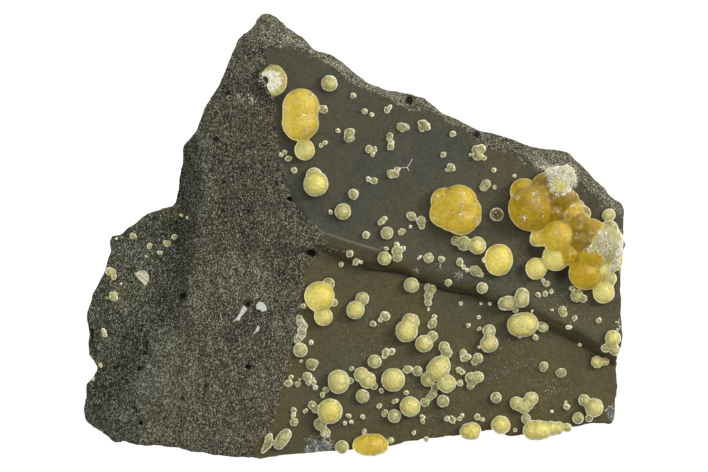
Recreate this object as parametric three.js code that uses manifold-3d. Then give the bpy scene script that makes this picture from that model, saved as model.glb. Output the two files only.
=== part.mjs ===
// Calcite on basalt: a hand-sized fragment of grey basalt that broke across a smooth-lined cavity.
// One face is the cavity's lining, with rounded calcite growths seated on it; the others are broken rock.
//
// Millimetres, +Z up. The fragment lies on its flat back at z = 0, the cavity lining faces up, and the
// origin is under the centre of the outline. Plan positions are x, y; heights come from the face functions.

import * as THREE from "three";
import { mergeVertices } from "three/addons/utils/BufferGeometryUtils.js";
import Module from "manifold-3d";

const wasm = await Module();
wasm.setup();

// ---- Driving dimensions ------------------------------------------------------------------------------

const LINING_HEIGHT = 34; // cavity lining above the base, above the fold
const FOLD_DROP = 2.2; // how far the lining steps down across its fold
const RIM_ROLL = 1.2; // how far the lining rolls down toward the lower rim
const BEVEL_SLOPE = 1.2; // fall of the broken strip beyond the lining's upper edge
const CLEARANCE = 0.3; // between a growth and the rock it sits on
const SKY = 48; // above every face, where the rough block is cut down from
const UNDER = -5; // below the base, where each cutting slab ends

// Plan outline of the fragment, clockwise from the apex.
const OUTLINE = [
  [-19.4, 43.6], [-18.4, 44.4], [-16.8, 44.4], [-15.4, 43.8], [-12.6, 41.2], [-10, 39.6], [-8.2, 37.1],
  [-4.8, 36.4], [2, 31], [5.4, 29.7], [7.4, 29], [14, 27.6], [15, 26.6], [17.6, 24.8], [20.2, 23.6],
  [24.8, 21], [29.2, 20.3], [34.2, 18.4], [37.2, 17.6], [42.8, 16.7], [45.8, 14.2], [49.6, 9.8],
  [53.4, 6.2], [54.2, 4.8], [54, -0.8], [54.4, -1.8], [53.8, -3.2], [53.2, -8.8], [53.3, -16.8],
  [53.6, -19.4], [52.2, -27], [52.6, -30], [52.2, -36.6], [51.4, -37.8], [50.2, -37.5], [47.2, -37.4],
  [38.2, -39.4], [33.6, -39.6], [30.8, -40.3], [28.4, -38.8], [25.8, -39], [23.2, -39.6], [11.2, -41.1],
  [7.2, -42.1], [-4, -43], [-16.4, -44], [-18.4, -44.5], [-28, -44.1], [-30.2, -43.4], [-34.8, -42.7],
  [-43.4, -42], [-45.8, -41.4], [-48.2, -41.6], [-50.6, -39.6], [-54.2, -37.6], [-54.5, -35.4],
  [-53.8, -30], [-51.2, -26.6], [-52.2, -25.2], [-53.2, -23.8], [-53.9, -17.2], [-53.8, -15.4],
  [-52.4, -11.2], [-50.4, -7.6], [-49, -3.2], [-49.4, -0.8], [-48.8, 0], [-46.4, 0.6], [-46, 1.4],
  [-44.2, 2.4], [-42.6, 3.8], [-38.4, 5.6], [-36.4, 6], [-35.6, 6.8], [-35.2, 11.2], [-34.4, 15.6],
  [-34.6, 17.2], [-34.2, 18.4], [-31.8, 21.2], [-28, 28.8], [-23.4, 39.2], [-20.4, 41.6],
];
const OUTLINE_MIDDLE = [-4.8, -8.8]; // every outline point is seen from here

// Upper edge of the lining, [x, y].
const UPPER_EDGE = [
  [-17.2, 37.8], [-12.8, 37.8], [-10.2, 37.4], [-7.4, 35.5], [-4.6, 33.9], [-1.9, 31.8], [0.4, 30],
  [3.2, 29.1], [6.4, 27.8], [9.2, 26.2], [11, 25.2], [15.2, 25.2], [17.2, 24], [18.8, 22.4],
  [21.6, 21.6], [24.2, 19.6], [26.6, 17.6], [29.2, 17], [34, 16], [35.4, 14.4], [38.2, 13.2],
  [41.2, 12.8], [44.4, 11.4], [46.8, 9], [49.2, 7.2], [51.8, 5.4], [53.6, 3.4],
];

// Ridge between the lining and the big broken face, [y, x], and the same ridge without its nose.
const RIDGE = [
  [-44.4, -18.4], [-42.8, -18.2], [-40.2, -17.2], [-37.8, -16.4], [-33.8, -15.4], [-28.8, -13.8],
  [-25.2, -12.8], [-21.8, -12.2], [-17.8, -11.6], [-14.2, -10.6], [-10.8, -10], [-7.2, -9.8],
  [-5.2, -8.8], [-3.6, -6.8], [-1.4, -5.8], [1, -6.8], [3.4, -9], [5, -11], [7.2, -12.6],
  [9.6, -13.2], [12.8, -13.8], [16.2, -15], [20.2, -15.6], [27.6, -16], [30.8, -18.2], [33.6, -18.2],
  [37.8, -17.2], [41.2, -18.2], [44.4, -19.2],
];
const RIDGE_TREND = [
  [-44.4, -18.4], [-40.2, -17.2], [-33.8, -15.4], [-28.8, -13.8], [-21.8, -12.2], [-14.2, -10.6],
  [-7.2, -9.8], [-1.4, -9.4], [3.4, -10.4], [7.2, -12.6], [12.8, -13.8], [16.2, -15], [20.2, -15.6],
  [27.6, -16.2], [32.2, -17.6], [37.8, -17.2], [41.2, -18.2], [44.4, -19.2],
];
const NOSE_REACH = 5; // how far the ridge's nose is felt down the broken face

// The fold across the lining, [x, y]: its raised crest, and the crease at its foot.
const CREST = [
  [-8.4, 2], [-5.8, 0.6], [-1.8, -0.8], [4.2, -2.6], [9.2, -4.4], [15.2, -6.4], [21.2, -8],
  [27.2, -10.4], [33.2, -12.8], [39.2, -15.8], [45.2, -18.8], [49.2, -21.4], [53.2, -24.4],
];
const CREASE = [
  [-6.4, -3.2], [-1.8, -5.4], [3.2, -6.8], [9.2, -7.4], [14.2, -9.4], [18.2, -11], [23.2, -11.8],
  [27.2, -13.6], [33.2, -16.2], [39.2, -18.8], [45.2, -21.8], [49.2, -24], [52.2, -26],
];

// The left of the broken face, [y, x, z]: where it ends at a step that drops steeply to the low lobe, and
// the lobe's upper side. Toward the lower rim the two meet and the step fades to a bend.
const STEP_TOP = [
  [-42, -43.2, 13], [-36.8, -41.4, 14], [-29.8, -39.2, 15.5], [-24.4, -37.2, 16.5], [-17.2, -35, 18],
  [-12.6, -33.4, 19], [-5.6, -32.6, 20], [0.8, -31.2, 21], [8.2, -30.4, 21.5], [12.8, -30.1, 22],
  [17.4, -30.4, 22.5], [21.8, -31.8, 22],
];
const STEP_FOOT = [
  [-41.4, -45.2, 12], [-35.8, -43.6, 13], [-29.6, -41.6, 14.5], [-23.2, -39.6, 15.5],
  [-16.8, -37.8, 16], [-10.8, -36.2, 15.5], [-5.2, -35.2, 15], [0.2, -34.6, 14.5], [6.4, -35.4, 14],
];
const STEP_SLOPE = 1.8; // fall of the step
const LOBE_SLOPE = [[-41, 0.75], [-34, 0.55], [-26, 0.55], [-16, 0.45], [-1, 0.36], [5, 0.3]]; // [y, fall]

// Side wall of the fragment, from the base up: share of the local height, how far it draws in there,
// and how unevenly. The rings above the last one stand straight under the outline.
const WALL_RINGS = [
  { rise: 0, inset: 4.6, uneven: 1.7 },
  { rise: 0.17, inset: 2.1, uneven: 1.6 },
  { rise: 0.52, inset: 1.3, uneven: 1.2 },
  { rise: 0.84, inset: 0, uneven: 0 },
];
const FULL_WALL = 16; // a wall this high or higher has the whole inset

// Gas bubbles broken open, [x, y, radius, depth].
const BUBBLES = [
  [-8.6, -3.4, 1, 0.9], [-34.2, -12.1, 0.8, 0.7], [-21.2, -13.6, 0.6, 0.6], [-21.2, -26.2, 0.7, 0.7],
  [11, 27, 0.9, 0.8], [24.6, 20.4, 0.6, 0.6],
];
const HOLLOW = { x: -20.8, y: -17.8, along: 4.2, across: 4.8, depth: 1.3 }; // in the big broken face

// Calcite growths on the lining. Each ball is [x, y, radius] with an optional lift above its own seat.
const GROWTHS = {
  calcite_broken_ball: [[-16.6, 31, 3.3]],
  calcite_honey_twin: [[-10.6, 25.8, 3.7], [-10.7, 22.6, 3.7], [-9.8, 17.2, 2.1]],
  calcite_centre_cluster: [
    [21, 6.6, 3.7], [18, 7, 2.7], [17.6, 4.4, 2.6], [21.4, 3.6, 3.5], [23.4, 3.6, 2.1],
  ],
  calcite_corner_cluster: [
    [35.3, 5.5, 4.6], [33.9, 8.8, 2.8], [38.4, 9.8, 3], [40.8, 7.8, 3.2, 0.8], [42.6, 7, 2.5],
    [39.8, 5.2, 2.8, 1], [37.8, 0.4, 2.5], [40.8, 0, 3.4, 0.8], [40.4, -4.2, 2.8], [36.4, -6.5, 2.2],
    [44.8, 2, 2.8, 1], [46.2, -0.8, 3, 1.5], [46.2, -7.4, 3.4], [49.8, -1.4, 4], [51.8, -5, 2.1],
    [45.1, 6.2, 1], [41, 10.6, 2.1, 3], [42.4, 12.4, 1.8, 2], [39.8, 12.6, 1.2, 2.2],
    [49.9, -11.3, 2.2], [51, -8.6, 1.5],
  ],
  calcite_ball_01: [[-4.9, 30.5, 1.66]],
  calcite_group_01: [[24.5, 17.2, 1], [25.4, 17.4, 0.96], [24.7, 16.1, 1.08], [26, 15.6, 0.52]],
  calcite_pair_01: [[-7.6, 10.4, 2.56], [-8, 12, 1.7]],
  calcite_pair_02: [[26.4, 10.4, 0.96], [25.9, 9.8, 0.88]],
  calcite_ball_02: [[-2.2, 4.9, 1.66]],
  calcite_ball_03: [[28.5, 4.3, 1.4]],
  calcite_ball_04: [[50.9, 4.1, 1.36]],
  calcite_pair_03: [[13.4, 3, 1], [13.5, 2, 0.72]],
  calcite_ball_05: [[6.6, 0.6, 1.28]],
  calcite_pale_trio: [[24.6, -1.9, 1.8], [22, -1.5, 1.5], [20.3, -1, 0.96]],
  calcite_group_02: [[8.6, -3, 1.12], [8.7, -4.2, 1], [8.5, -1.7, 0.6], [9.8, -2.5, 0.6]],
  calcite_ball_06: [[6.1, -4.5, 1.4]],
  calcite_ball_07: [[14.9, -4.4, 1.06]],
  calcite_group_03: [[28.9, -4.4, 2.86], [28.9, -5.2, 2.8], [26.1, -4.8, 0.64]],
  calcite_ball_08: [[11.5, -9.8, 1.56]],
  calcite_ball_09: [[25.6, -10.4, 1.2]],
  calcite_group_04: [[14.8, -10.3, 0.84], [15.6, -10.6, 0.92], [14.9, -11.9, 0.92], [14.8, -13.3, 0.8]],
  calcite_group_05: [[-6.9, -12.1, 3.06], [-5.1, -9.6, 1.3], [-6.1, -16.1, 1.92], [-4, -13.3, 0.85]],
  calcite_pair_04: [[44.5, -11.9, 1.3], [45.8, -12.5, 0.84]],
  calcite_group_06: [[30.1, -13.5, 1.4], [31.1, -13.4, 1.44], [33.6, -11.7, 1.4], [33.5, -12.9, 1.48]],
  calcite_pair_05: [[0.3, -14.8, 1.86], [1.7, -12.5, 1.36]],
  calcite_pair_06: [[11.3, -17.2, 1.8], [10.5, -19, 2.26]],
  calcite_group_07: [[33, -17.8, 2.4], [34.4, -17.6, 2.46], [33.1, -20, 0.6], [37.8, -18.1, 1.2]],
  calcite_pale_bar: [[-10.7, -17.2, 0.84], [-10.4, -18.8, 0.92], [-10.8, -20.2, 0.84]],
  calcite_pair_07: [[27, -19, 1.36], [27, -21.5, 1.84]],
  calcite_group_08: [[51.7, -20.4, 1.6], [50.2, -22.4, 0.9], [52.1, -22.8, 1.1], [51, -22.4, 0.8]],
  calcite_pair_08: [[14, -21.5, 1.8], [15.7, -20, 1.1]],
  calcite_ball_10: [[-10.7, -22.8, 1.46]],
  calcite_pair_09: [[24.8, -24.4, 1.06], [24.1, -25.2, 0.72]],
  calcite_ball_11: [[4.1, -25.1, 1.4]],
  calcite_pair_10: [[48.6, -25.2, 1.26], [50.2, -25.1, 0.88]],
  calcite_group_09: [[1.5, -27.7, 1.56], [2.7, -28.8, 1.7], [4, -30, 0.8]],
  calcite_group_10: [[-3.1, -28.8, 2.16], [-3.1, -29.5, 2.08], [-0.7, -28.9, 0.7]],
  calcite_long_bunch: [
    [16.6, -26.8, 2.2], [17.3, -26, 2.1], [18, -22.2, 1.16], [18.5, -23.4, 1.16], [14.8, -28.6, 1.5],
    [18.5, -29.5, 1.9], [16.2, -30.2, 0.8], [15.8, -31.5, 0.9], [15.1, -32.3, 0.76],
    [14.2, -33.3, 0.96],
  ],
  calcite_ball_12: [[12.7, -27, 1.04]],
  calcite_ball_13: [[7.8, -28.7, 2.4]],
  calcite_group_11: [[23.3, -28.4, 1.2], [24.8, -28.2, 1.2], [24, -29, 0.8], [23.3, -30, 0.76]],
  calcite_ball_14: [[1.7, -32, 1.4]],
  calcite_ball_15: [[28.4, -32.3, 1.14]],
  calcite_group_12: [[32.5, -33.4, 1.36], [34, -34.2, 1.36], [35.4, -32.5, 1.46]],
  calcite_group_13: [[46, -32.8, 1.2], [48, -34.3, 1.9], [47, -36.4, 0.84]],
  calcite_ball_16: [[17.8, -33, 1.28]],
  calcite_ball_17: [[11.2, -34.1, 2.08]],
  calcite_group_14: [
    [-4.8, -35, 2.56], [-6.7, -37.6, 1.35], [-5.7, -39.4, 1.1], [-8.4, -33.8, 0.88],
    [-7.6, -34.6, 0.88],
  ],
  calcite_ball_18: [[8.1, -36, 1.36]],
  calcite_ball_19: [[44.8, -36.4, 1.2]],
  calcite_ball_20: [[29.3, -37.8, 1.92]],
  calcite_rim_row: [
    [35.7, -38.9, 2], [37.9, -38.8, 1.9], [34.3, -36.5, 1], [40.7, -38.4, 1.4], [42.6, -38.3, 1],
  ],
  calcite_pair_11: [[23.6, -39, 1.86], [22.2, -39.3, 1]],
  calcite_group_15: [[-17, -40.6, 0.9], [-17.3, -41.8, 0.8], [-17.8, -42.5, 0.6], [-18.2, -43.1, 0.46]],
  calcite_pair_12: [[-15, -41.6, 1.16], [-14, -40.2, 1.3]],
  calcite_ball_21: [[-2.4, -42.2, 1.4]],
  calcite_rim_honey: [[3.6, -41.8, 2.34], [1.6, -41.9, 1.9], [5.1, -41.9, 1.86]],
};

// Beads too small to be solids of their own, joined to the rock: [x, y, radius].
const BEADS = [
  [9.4, 21.8, 0.92], [10.2, 21.8, 0.88], [13.7, 22.6, 0.84], [14.3, 22, 1], [-1, 19.6, 1],
  [-0.9, 20.6, 0.9], [3, 17.4, 0.84], [7.3, 17.9, 0.84], [19.4, 13.7, 0.9], [7.4, 12.4, 0.82],
  [-0.1, 8.4, 1], [5.5, 2.9, 0.84], [11.5, 3.9, 0.92], [0.5, -5.1, 0.84], [18.8, -9.4, 0.86],
  [24.3, -7, 1.06], [6.2, -16, 1.06], [15.6, -17.5, 1.04], [41.6, -14.9, 0.86], [-8.5, -25.7, 1.04],
  [-7.9, -25.3, 0.84], [22.3, -24.3, 1], [37.9, -26.1, 0.9], [41.4, -27.3, 0.86], [-48.9, -7.3, 1],
  [-42.6, -8.2, 1.4],
];

// ---- Reading the traces ------------------------------------------------------------------------------

// Value of column `column` in a table of [at, ...values], on straight lines between its rows.
function read(table, at, column = 1) {
  const ascending = table[0][0] < table[table.length - 1][0];
  const rows = ascending ? table : [...table].reverse();
  if (at <= rows[0][0]) return rows[0][column];
  for (let i = 1; i < rows.length; i += 1) {
    if (at > rows[i][0]) continue;
    const share = (at - rows[i - 1][0]) / (rows[i][0] - rows[i - 1][0]);
    return THREE.MathUtils.lerp(rows[i - 1][column], rows[i][column], share);
  }
  return rows[rows.length - 1][column];
}

// A repeatable number between -1 and 1 for each pair of whole numbers: the rock's unevenness.
function chance(i, j) {
  const wave = Math.sin(i * 12.9898 + j * 78.233) * 43758.5453;
  return 2 * (wave - Math.floor(wave)) - 1;
}

// ---- Faces of the fragment, as heights over the plan ---------------------------------------------------

function lining(x, y) {
  const crest = read(CREST, x);
  const crease = read(CREASE, x);
  const folded = THREE.MathUtils.smoothstep(crest - y, 0, crest - crease);
  const roll = THREE.MathUtils.smoothstep(-y, 26, 46);
  const swell = 0.5 * Math.sin(x / 11 + 0.6) * Math.cos(y / 14 - 0.4);
  const shoulder = 0.35 * Math.exp(-(((y - crest) / 2.2) ** 2));
  return LINING_HEIGHT - FOLD_DROP * folded - RIM_ROLL * roll ** 2 + swell + shoulder;
}

function bevel(x, y) {
  const edge = read(UPPER_EDGE, x);
  return lining(x, edge) - BEVEL_SLOPE * (y - edge);
}

function brokenFace(x, y) {
  const ridge = read(RIDGE, y);
  const trend = read(RIDGE_TREND, y);
  const top = Math.min(lining(ridge, y), bevel(ridge, y));
  const slope = (top - read(STEP_TOP, y, 2)) / (trend - read(STEP_TOP, y));
  const nose = (ridge - trend) * Math.exp(-Math.max(0, ridge - x) / NOSE_REACH);
  return top - slope * (trend + nose - x);
}

function step(x, y) {
  return read(STEP_TOP, y, 2) - STEP_SLOPE * (read(STEP_TOP, y) - x);
}

function lobe(x, y) {
  const swell = 0.35 * Math.sin(x / 3.1) * Math.cos(y / 4.3);
  return read(STEP_FOOT, y, 2) - read(LOBE_SLOPE, y) * (read(STEP_FOOT, y) - x) + swell;
}

function surface(x, y) {
  const broken = Math.max(Math.min(brokenFace(x, y), step(x, y)), lobe(x, y));
  return Math.min(lining(x, y), bevel(x, y), broken);
}

// ---- Solids ------------------------------------------------------------------------------------------

function toSolid(geometry) {
  geometry.deleteAttribute("normal");
  geometry.deleteAttribute("uv");
  const merged = mergeVertices(geometry);
  return new wasm.Manifold(
    new wasm.Mesh({
      numProp: 3,
      vertProperties: merged.attributes.position.array,
      triVerts: new Uint32Array(merged.index.array),
    }),
  );
}

function toMesh(name, solid, material) {
  const { vertProperties, triVerts } = solid.getMesh();
  const geometry = new THREE.BufferGeometry();
  geometry.setAttribute("position", new THREE.BufferAttribute(vertProperties, 3));
  geometry.setIndex(new THREE.BufferAttribute(triVerts, 1));
  geometry.computeVertexNormals();
  const mesh = new THREE.Mesh(geometry, material);
  mesh.name = name;
  return mesh;
}

function meshFrom(points, faces) {
  const geometry = new THREE.BufferGeometry();
  geometry.setAttribute("position", new THREE.Float32BufferAttribute(points.flat(), 3));
  geometry.setIndex(faces.flat());
  return toSolid(geometry);
}

// Rings of equal count, from the lowest up, closed to a point at each end.
function stackRings(rings, middle) {
  const count = rings[0].length;
  const points = rings.flat();
  const faces = [];
  const low = points.push([...middle, rings[0][0][2]]) - 1;
  const high = points.push([...middle, rings[rings.length - 1][0][2]]) - 1;
  const last = (rings.length - 1) * count;
  for (let i = 0; i < count; i += 1) {
    const next = (i + 1) % count;
    faces.push([low, i, next], [high, last + next, last + i]);
    for (let base = 0; base < last; base += count) {
      faces.push([base + i, base + count + i, base + next]);
      faces.push([base + next, base + count + i, base + count + next]);
    }
  }
  return meshFrom(points, faces);
}

// The solid below a face: a grid whose columns stand at xs and whose rows follow rowsAt(x).
function slabUnder(face, xs, rowsAt, unevenness) {
  const rows = rowsAt(0).length;
  const count = xs.length * rows;
  const top = xs.flatMap((x, i) =>
    rowsAt(x).map((y, j) => [x, y, face(x, y) + unevenness * chance(i, j)]),
  );
  const points = [...top, ...top.map(([x, y]) => [x, y, UNDER])];
  const faces = [];
  const wall = (a, b) => faces.push([a, b, b + count], [a, b + count, a + count]);
  for (let i = 0; i + 1 < xs.length; i += 1) {
    for (let j = 0; j + 1 < rows; j += 1) {
      const [a, b, c, d] = [i * rows + j, (i + 1) * rows + j, (i + 1) * rows + j + 1, i * rows + j + 1];
      faces.push([a, b, c], [a, c, d]);
      faces.push([a + count, c + count, b + count], [a + count, d + count, c + count]);
    }
    wall((i + 1) * rows, i * rows);
    wall(i * rows + rows - 1, (i + 1) * rows + rows - 1);
  }
  for (let j = 0; j + 1 < rows; j += 1) {
    wall(j, j + 1);
    wall((xs.length - 1) * rows + j + 1, (xs.length - 1) * rows + j);
  }
  return meshFrom(points, faces);
}

// Whole steps from one bound to the other.
function spread(from, to, pace) {
  const count = Math.round((to - from) / pace);
  return Array.from({ length: count + 1 }, (_, i) => from + ((to - from) * i) / count);
}

// ---- The rock ------------------------------------------------------------------------------------------

function roughBlock() {
  const ring = ({ rise, inset, uneven }, k) =>
    OUTLINE.map(([x, y], i) => {
      const height = surface(x, y);
      const arm = [x - OUTLINE_MIDDLE[0], y - OUTLINE_MIDDLE[1]];
      const reach = Math.hypot(...arm);
      const whole = Math.min(1, height / FULL_WALL);
      const kept = 1 - (whole * (inset + uneven * chance(Math.floor(i / 2), k))) / reach;
      return [OUTLINE_MIDDLE[0] + arm[0] * kept, OUTLINE_MIDDLE[1] + arm[1] * kept, rise * height];
    });
  const rings = WALL_RINGS.map(ring);
  rings.push(OUTLINE.map(([x, y]) => [x, y, SKY]));
  return stackRings(rings, OUTLINE_MIDDLE);
}

function faceSlabs() {
  const beyond = 62;
  const foldRows = (x) => {
    const [crest, crease] = [read(CREST, x), read(CREASE, x)];
    const below = [-70, -30, -19, -10, -3.5].map((step) => crease + step);
    const across = [0, 0.5, 1].map((share) => THREE.MathUtils.lerp(crease, crest, share));
    const above = [3, 10, 19, 29, 70].map((step) => crest + step);
    return [...below, ...across, ...above];
  };
  const liningSlab = slabUnder(lining, [-beyond, ...spread(-24, beyond, 6.6)], foldRows, 0);
  const bevelColumns = [-beyond, ...UPPER_EDGE.map(([x]) => x), beyond];
  const bevelRows = (x) => [-95, 1.2, 4, 80].map((step) => read(UPPER_EDGE, x) + step);
  const bevelSlab = slabUnder(bevel, bevelColumns, bevelRows, 0.3);
  const brokenRows = () => [-beyond, ...spread(-42, 42, 6), beyond];
  const brokenColumns = [-beyond, ...spread(-44, 0, 7.3), beyond];
  const brokenSlab = slabUnder(brokenFace, brokenColumns, brokenRows, 0.28);
  const stepSlab = slabUnder(step, [-beyond, -46, -38, -30, beyond], brokenRows, 0.25);
  const lobeSlab = slabUnder(lobe, [-beyond, ...spread(-54, -30, 6), beyond], brokenRows, 0.4);
  return { liningSlab, bevelSlab, brokenSlab, stepSlab, lobeSlab };
}

// A dent with its long directions lying in the surface.
function dent(x, y, along, across, depth, tilt) {
  const shape = new THREE.IcosahedronGeometry(1, along > 2 ? 1 : 0).scale(along, across, depth);
  return toSolid(shape.rotateY(-tilt).translate(x, y, surface(x, y)));
}

function dents() {
  const pace = 1;
  const tiltAt = (x, y) => Math.atan2(surface(x + pace, y) - surface(x - pace, y), 2 * pace);
  const bubbles = BUBBLES.map(([x, y, radius, depth]) => dent(x, y, radius, radius, depth, tiltAt(x, y)));
  const { x, y, along, across, depth } = HOLLOW;
  return wasm.Manifold.union([...bubbles, dent(x, y, along, across, depth, tiltAt(x, y))]);
}

function beads() {
  const turned = (k) => new THREE.Euler(0.5 * k, 0.9 * k, 0.3 * k);
  const shapes = BEADS.map(([x, y, radius], k) => {
    const shape = new THREE.OctahedronGeometry(radius * 1.12);
    shape.applyMatrix4(new THREE.Matrix4().makeRotationFromEuler(turned(k)));
    return toSolid(shape.translate(x, y, surface(x, y) + seat(radius)));
  });
  return wasm.Manifold.union(shapes);
}

function rock({ liningSlab, bevelSlab, brokenSlab, stepSlab, lobeSlab }) {
  const broken = brokenSlab.intersect(stepSlab).add(lobeSlab);
  const fragment = roughBlock().intersect(liningSlab).intersect(bevelSlab).intersect(broken);
  return fragment.subtract(dents()).add(beads());
}

// ---- The calcite ---------------------------------------------------------------------------------------

// Height of a ball's centre above the rock: bigger balls stand prouder.
function seat(radius) {
  return radius * (0.35 + 0.06 * radius);
}

// A ball with as many faces as its size needs, a little oversize so that they lie about on the true ball.
function ball(radius) {
  if (radius < 1.75) return new THREE.IcosahedronGeometry(1.1 * radius, 0);
  const [around, down] = radius > 3.6 ? [9, 5] : radius > 2.6 ? [7, 4] : [6, 4];
  return new THREE.SphereGeometry((1 + 0.4 / around) * radius, around, down).rotateX(Math.PI / 2);
}

function growth(balls) {
  const shapes = balls.map(([x, y, radius, lift = 0], k) => {
    const shape = ball(radius).rotateZ(0.7 * k + x);
    return toSolid(shape.translate(x, y, surface(x, y) + seat(radius) + lift));
  });
  return wasm.Manifold.union(shapes);
}

// Cuts the seat out of a growth, with clearance above the rock, and beside it where the growth still
// meets it there, as at a rim. Keeps the growth itself and no crumb of it.
function seated(shape, stone) {
  const besides = [
    [0, -CLEARANCE, 0],
    [CLEARANCE, 0, 0],
    [0, CLEARANCE, 0],
    [-CLEARANCE, 0, 0],
  ];
  const lifted = shape.subtract(stone.translate([0, 0, CLEARANCE]));
  const clear = besides.reduce(
    (rest, shift) => (rest.intersect(stone).isEmpty() ? rest : rest.subtract(stone.translate(shift))),
    lifted,
  );
  const parts = clear.decompose();
  return parts.reduce((best, part) => (part.volume() > best.volume() ? part : best));
}

// ---- The specimen --------------------------------------------------------------------------------------

const basalt = new THREE.MeshStandardMaterial({ color: 0x4c483f, roughness: 0.9, metalness: 0 });
const honeyCalcite = new THREE.MeshStandardMaterial({ color: 0xc8a53a, roughness: 0.35, metalness: 0 });
const paleCalcite = new THREE.MeshStandardMaterial({ color: 0xcdc987, roughness: 0.4, metalness: 0 });
const HONEY_RADIUS = 2.6; // a growth with a ball bigger than this is honey-coloured

const specimen = new THREE.Group();
const slabs = faceSlabs();
const stone = rock(slabs);
specimen.add(toMesh("basalt", stone, basalt));

for (const [name, balls] of Object.entries(GROWTHS)) {
  const whole = growth(balls);
  const shape = name === "calcite_broken_ball" ? whole.intersect(slabs.brokenSlab) : whole;
  const material = balls.some(([, , radius]) => radius > HONEY_RADIUS) ? honeyCalcite : paleCalcite;
  specimen.add(toMesh(name, seated(shape, stone), material));
}

export default specimen;
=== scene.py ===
"""Calcite on basalt: a grey basalt fragment broken across a smooth-lined cavity, with calcite seated on it.

The fragment lies on its flat back with the cavity lining up. Everything is built in millimetres, in the
frame's axes, and turned to metres when a piece is finished.
"""

import logging
import math
from collections.abc import Iterator, Sequence
from contextlib import contextmanager
from dataclasses import dataclass, field
from enum import Enum
from functools import partial
from typing import NamedTuple

import bmesh
import bpy
import numpy as np
from bpy.types import ID, Material, Mesh, Node, NodeSocket, NodeTree, Object
from mathutils import Matrix, Vector
from mathutils.bvhtree import BVHTree


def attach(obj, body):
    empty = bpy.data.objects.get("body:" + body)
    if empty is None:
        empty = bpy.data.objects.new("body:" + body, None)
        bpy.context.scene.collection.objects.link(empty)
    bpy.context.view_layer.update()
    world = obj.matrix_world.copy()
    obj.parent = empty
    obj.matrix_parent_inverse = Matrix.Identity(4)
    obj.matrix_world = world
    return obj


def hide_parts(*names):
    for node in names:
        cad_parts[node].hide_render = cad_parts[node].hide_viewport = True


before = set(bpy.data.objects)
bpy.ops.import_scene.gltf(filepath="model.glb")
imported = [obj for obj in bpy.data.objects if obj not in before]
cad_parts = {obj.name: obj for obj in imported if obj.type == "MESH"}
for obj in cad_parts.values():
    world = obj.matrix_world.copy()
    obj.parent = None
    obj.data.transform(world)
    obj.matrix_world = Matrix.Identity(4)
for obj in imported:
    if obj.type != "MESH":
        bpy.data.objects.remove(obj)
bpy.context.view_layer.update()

log = logging.getLogger("calcite_on_basalt")

MM = 0.001  # metres in a millimetre


class Slot(Enum):
    """The record's material slots."""

    BASALT = "basalt"
    HONEY = "honey_calcite"
    PALE = "pale_calcite"


# ---- Lines traced over the fragment's faces, in millimetres -------------------------------------

# Plan outline of the fragment, clockwise from the apex.
OUTLINE = [
    (-19.4, 43.6), (-18.4, 44.4), (-16.8, 44.4), (-15.4, 43.8), (-12.6, 41.2), (-10, 39.6), (-8.2, 37.1),
    (-4.8, 36.4), (2, 31), (5.4, 29.7), (7.4, 29), (14, 27.6), (15, 26.6), (17.6, 24.8), (20.2, 23.6),
    (24.8, 21), (29.2, 20.3), (34.2, 18.4), (37.2, 17.6), (42.8, 16.7), (45.8, 14.2), (49.6, 9.8),
    (53.4, 6.2), (54.2, 4.8), (54, -0.8), (54.4, -1.8), (53.8, -3.2), (53.2, -8.8), (53.3, -16.8),
    (53.6, -19.4), (52.2, -27), (52.6, -30), (52.2, -36.6), (51.4, -37.8), (50.2, -37.5), (47.2, -37.4),
    (38.2, -39.4), (33.6, -39.6), (30.8, -40.3), (28.4, -38.8), (25.8, -39), (23.2, -39.6), (11.2, -41.1),
    (7.2, -42.1), (-4, -43), (-16.4, -44), (-18.4, -44.5), (-28, -44.1), (-30.2, -43.4), (-34.8, -42.7),
    (-43.4, -42), (-45.8, -41.4), (-48.2, -41.6), (-50.6, -39.6), (-54.2, -37.6), (-54.5, -35.4),
    (-53.8, -30), (-51.2, -26.6), (-52.2, -25.2), (-53.2, -23.8), (-53.9, -17.2), (-53.8, -15.4),
    (-52.4, -11.2), (-50.4, -7.6), (-49, -3.2), (-49.4, -0.8), (-48.8, 0), (-46.4, 0.6), (-46, 1.4),
    (-44.2, 2.4), (-42.6, 3.8), (-38.4, 5.6), (-36.4, 6), (-35.6, 6.8), (-35.2, 11.2), (-34.4, 15.6),
    (-34.6, 17.2), (-34.2, 18.4), (-31.8, 21.2), (-28, 28.8), (-23.4, 39.2), (-20.4, 41.6),
]

# Upper edge of the lining, (x, y).
UPPER_EDGE = [
    (-17.2, 37.8), (-12.8, 37.8), (-10.2, 37.4), (-7.4, 35.5), (-4.6, 33.9), (-1.9, 31.8), (0.4, 30),
    (3.2, 29.1), (6.4, 27.8), (9.2, 26.2), (11, 25.2), (15.2, 25.2), (17.2, 24), (18.8, 22.4),
    (21.6, 21.6), (24.2, 19.6), (26.6, 17.6), (29.2, 17), (34, 16), (35.4, 14.4), (38.2, 13.2),
    (41.2, 12.8), (44.4, 11.4), (46.8, 9), (49.2, 7.2), (51.8, 5.4), (53.6, 3.4),
]

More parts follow.
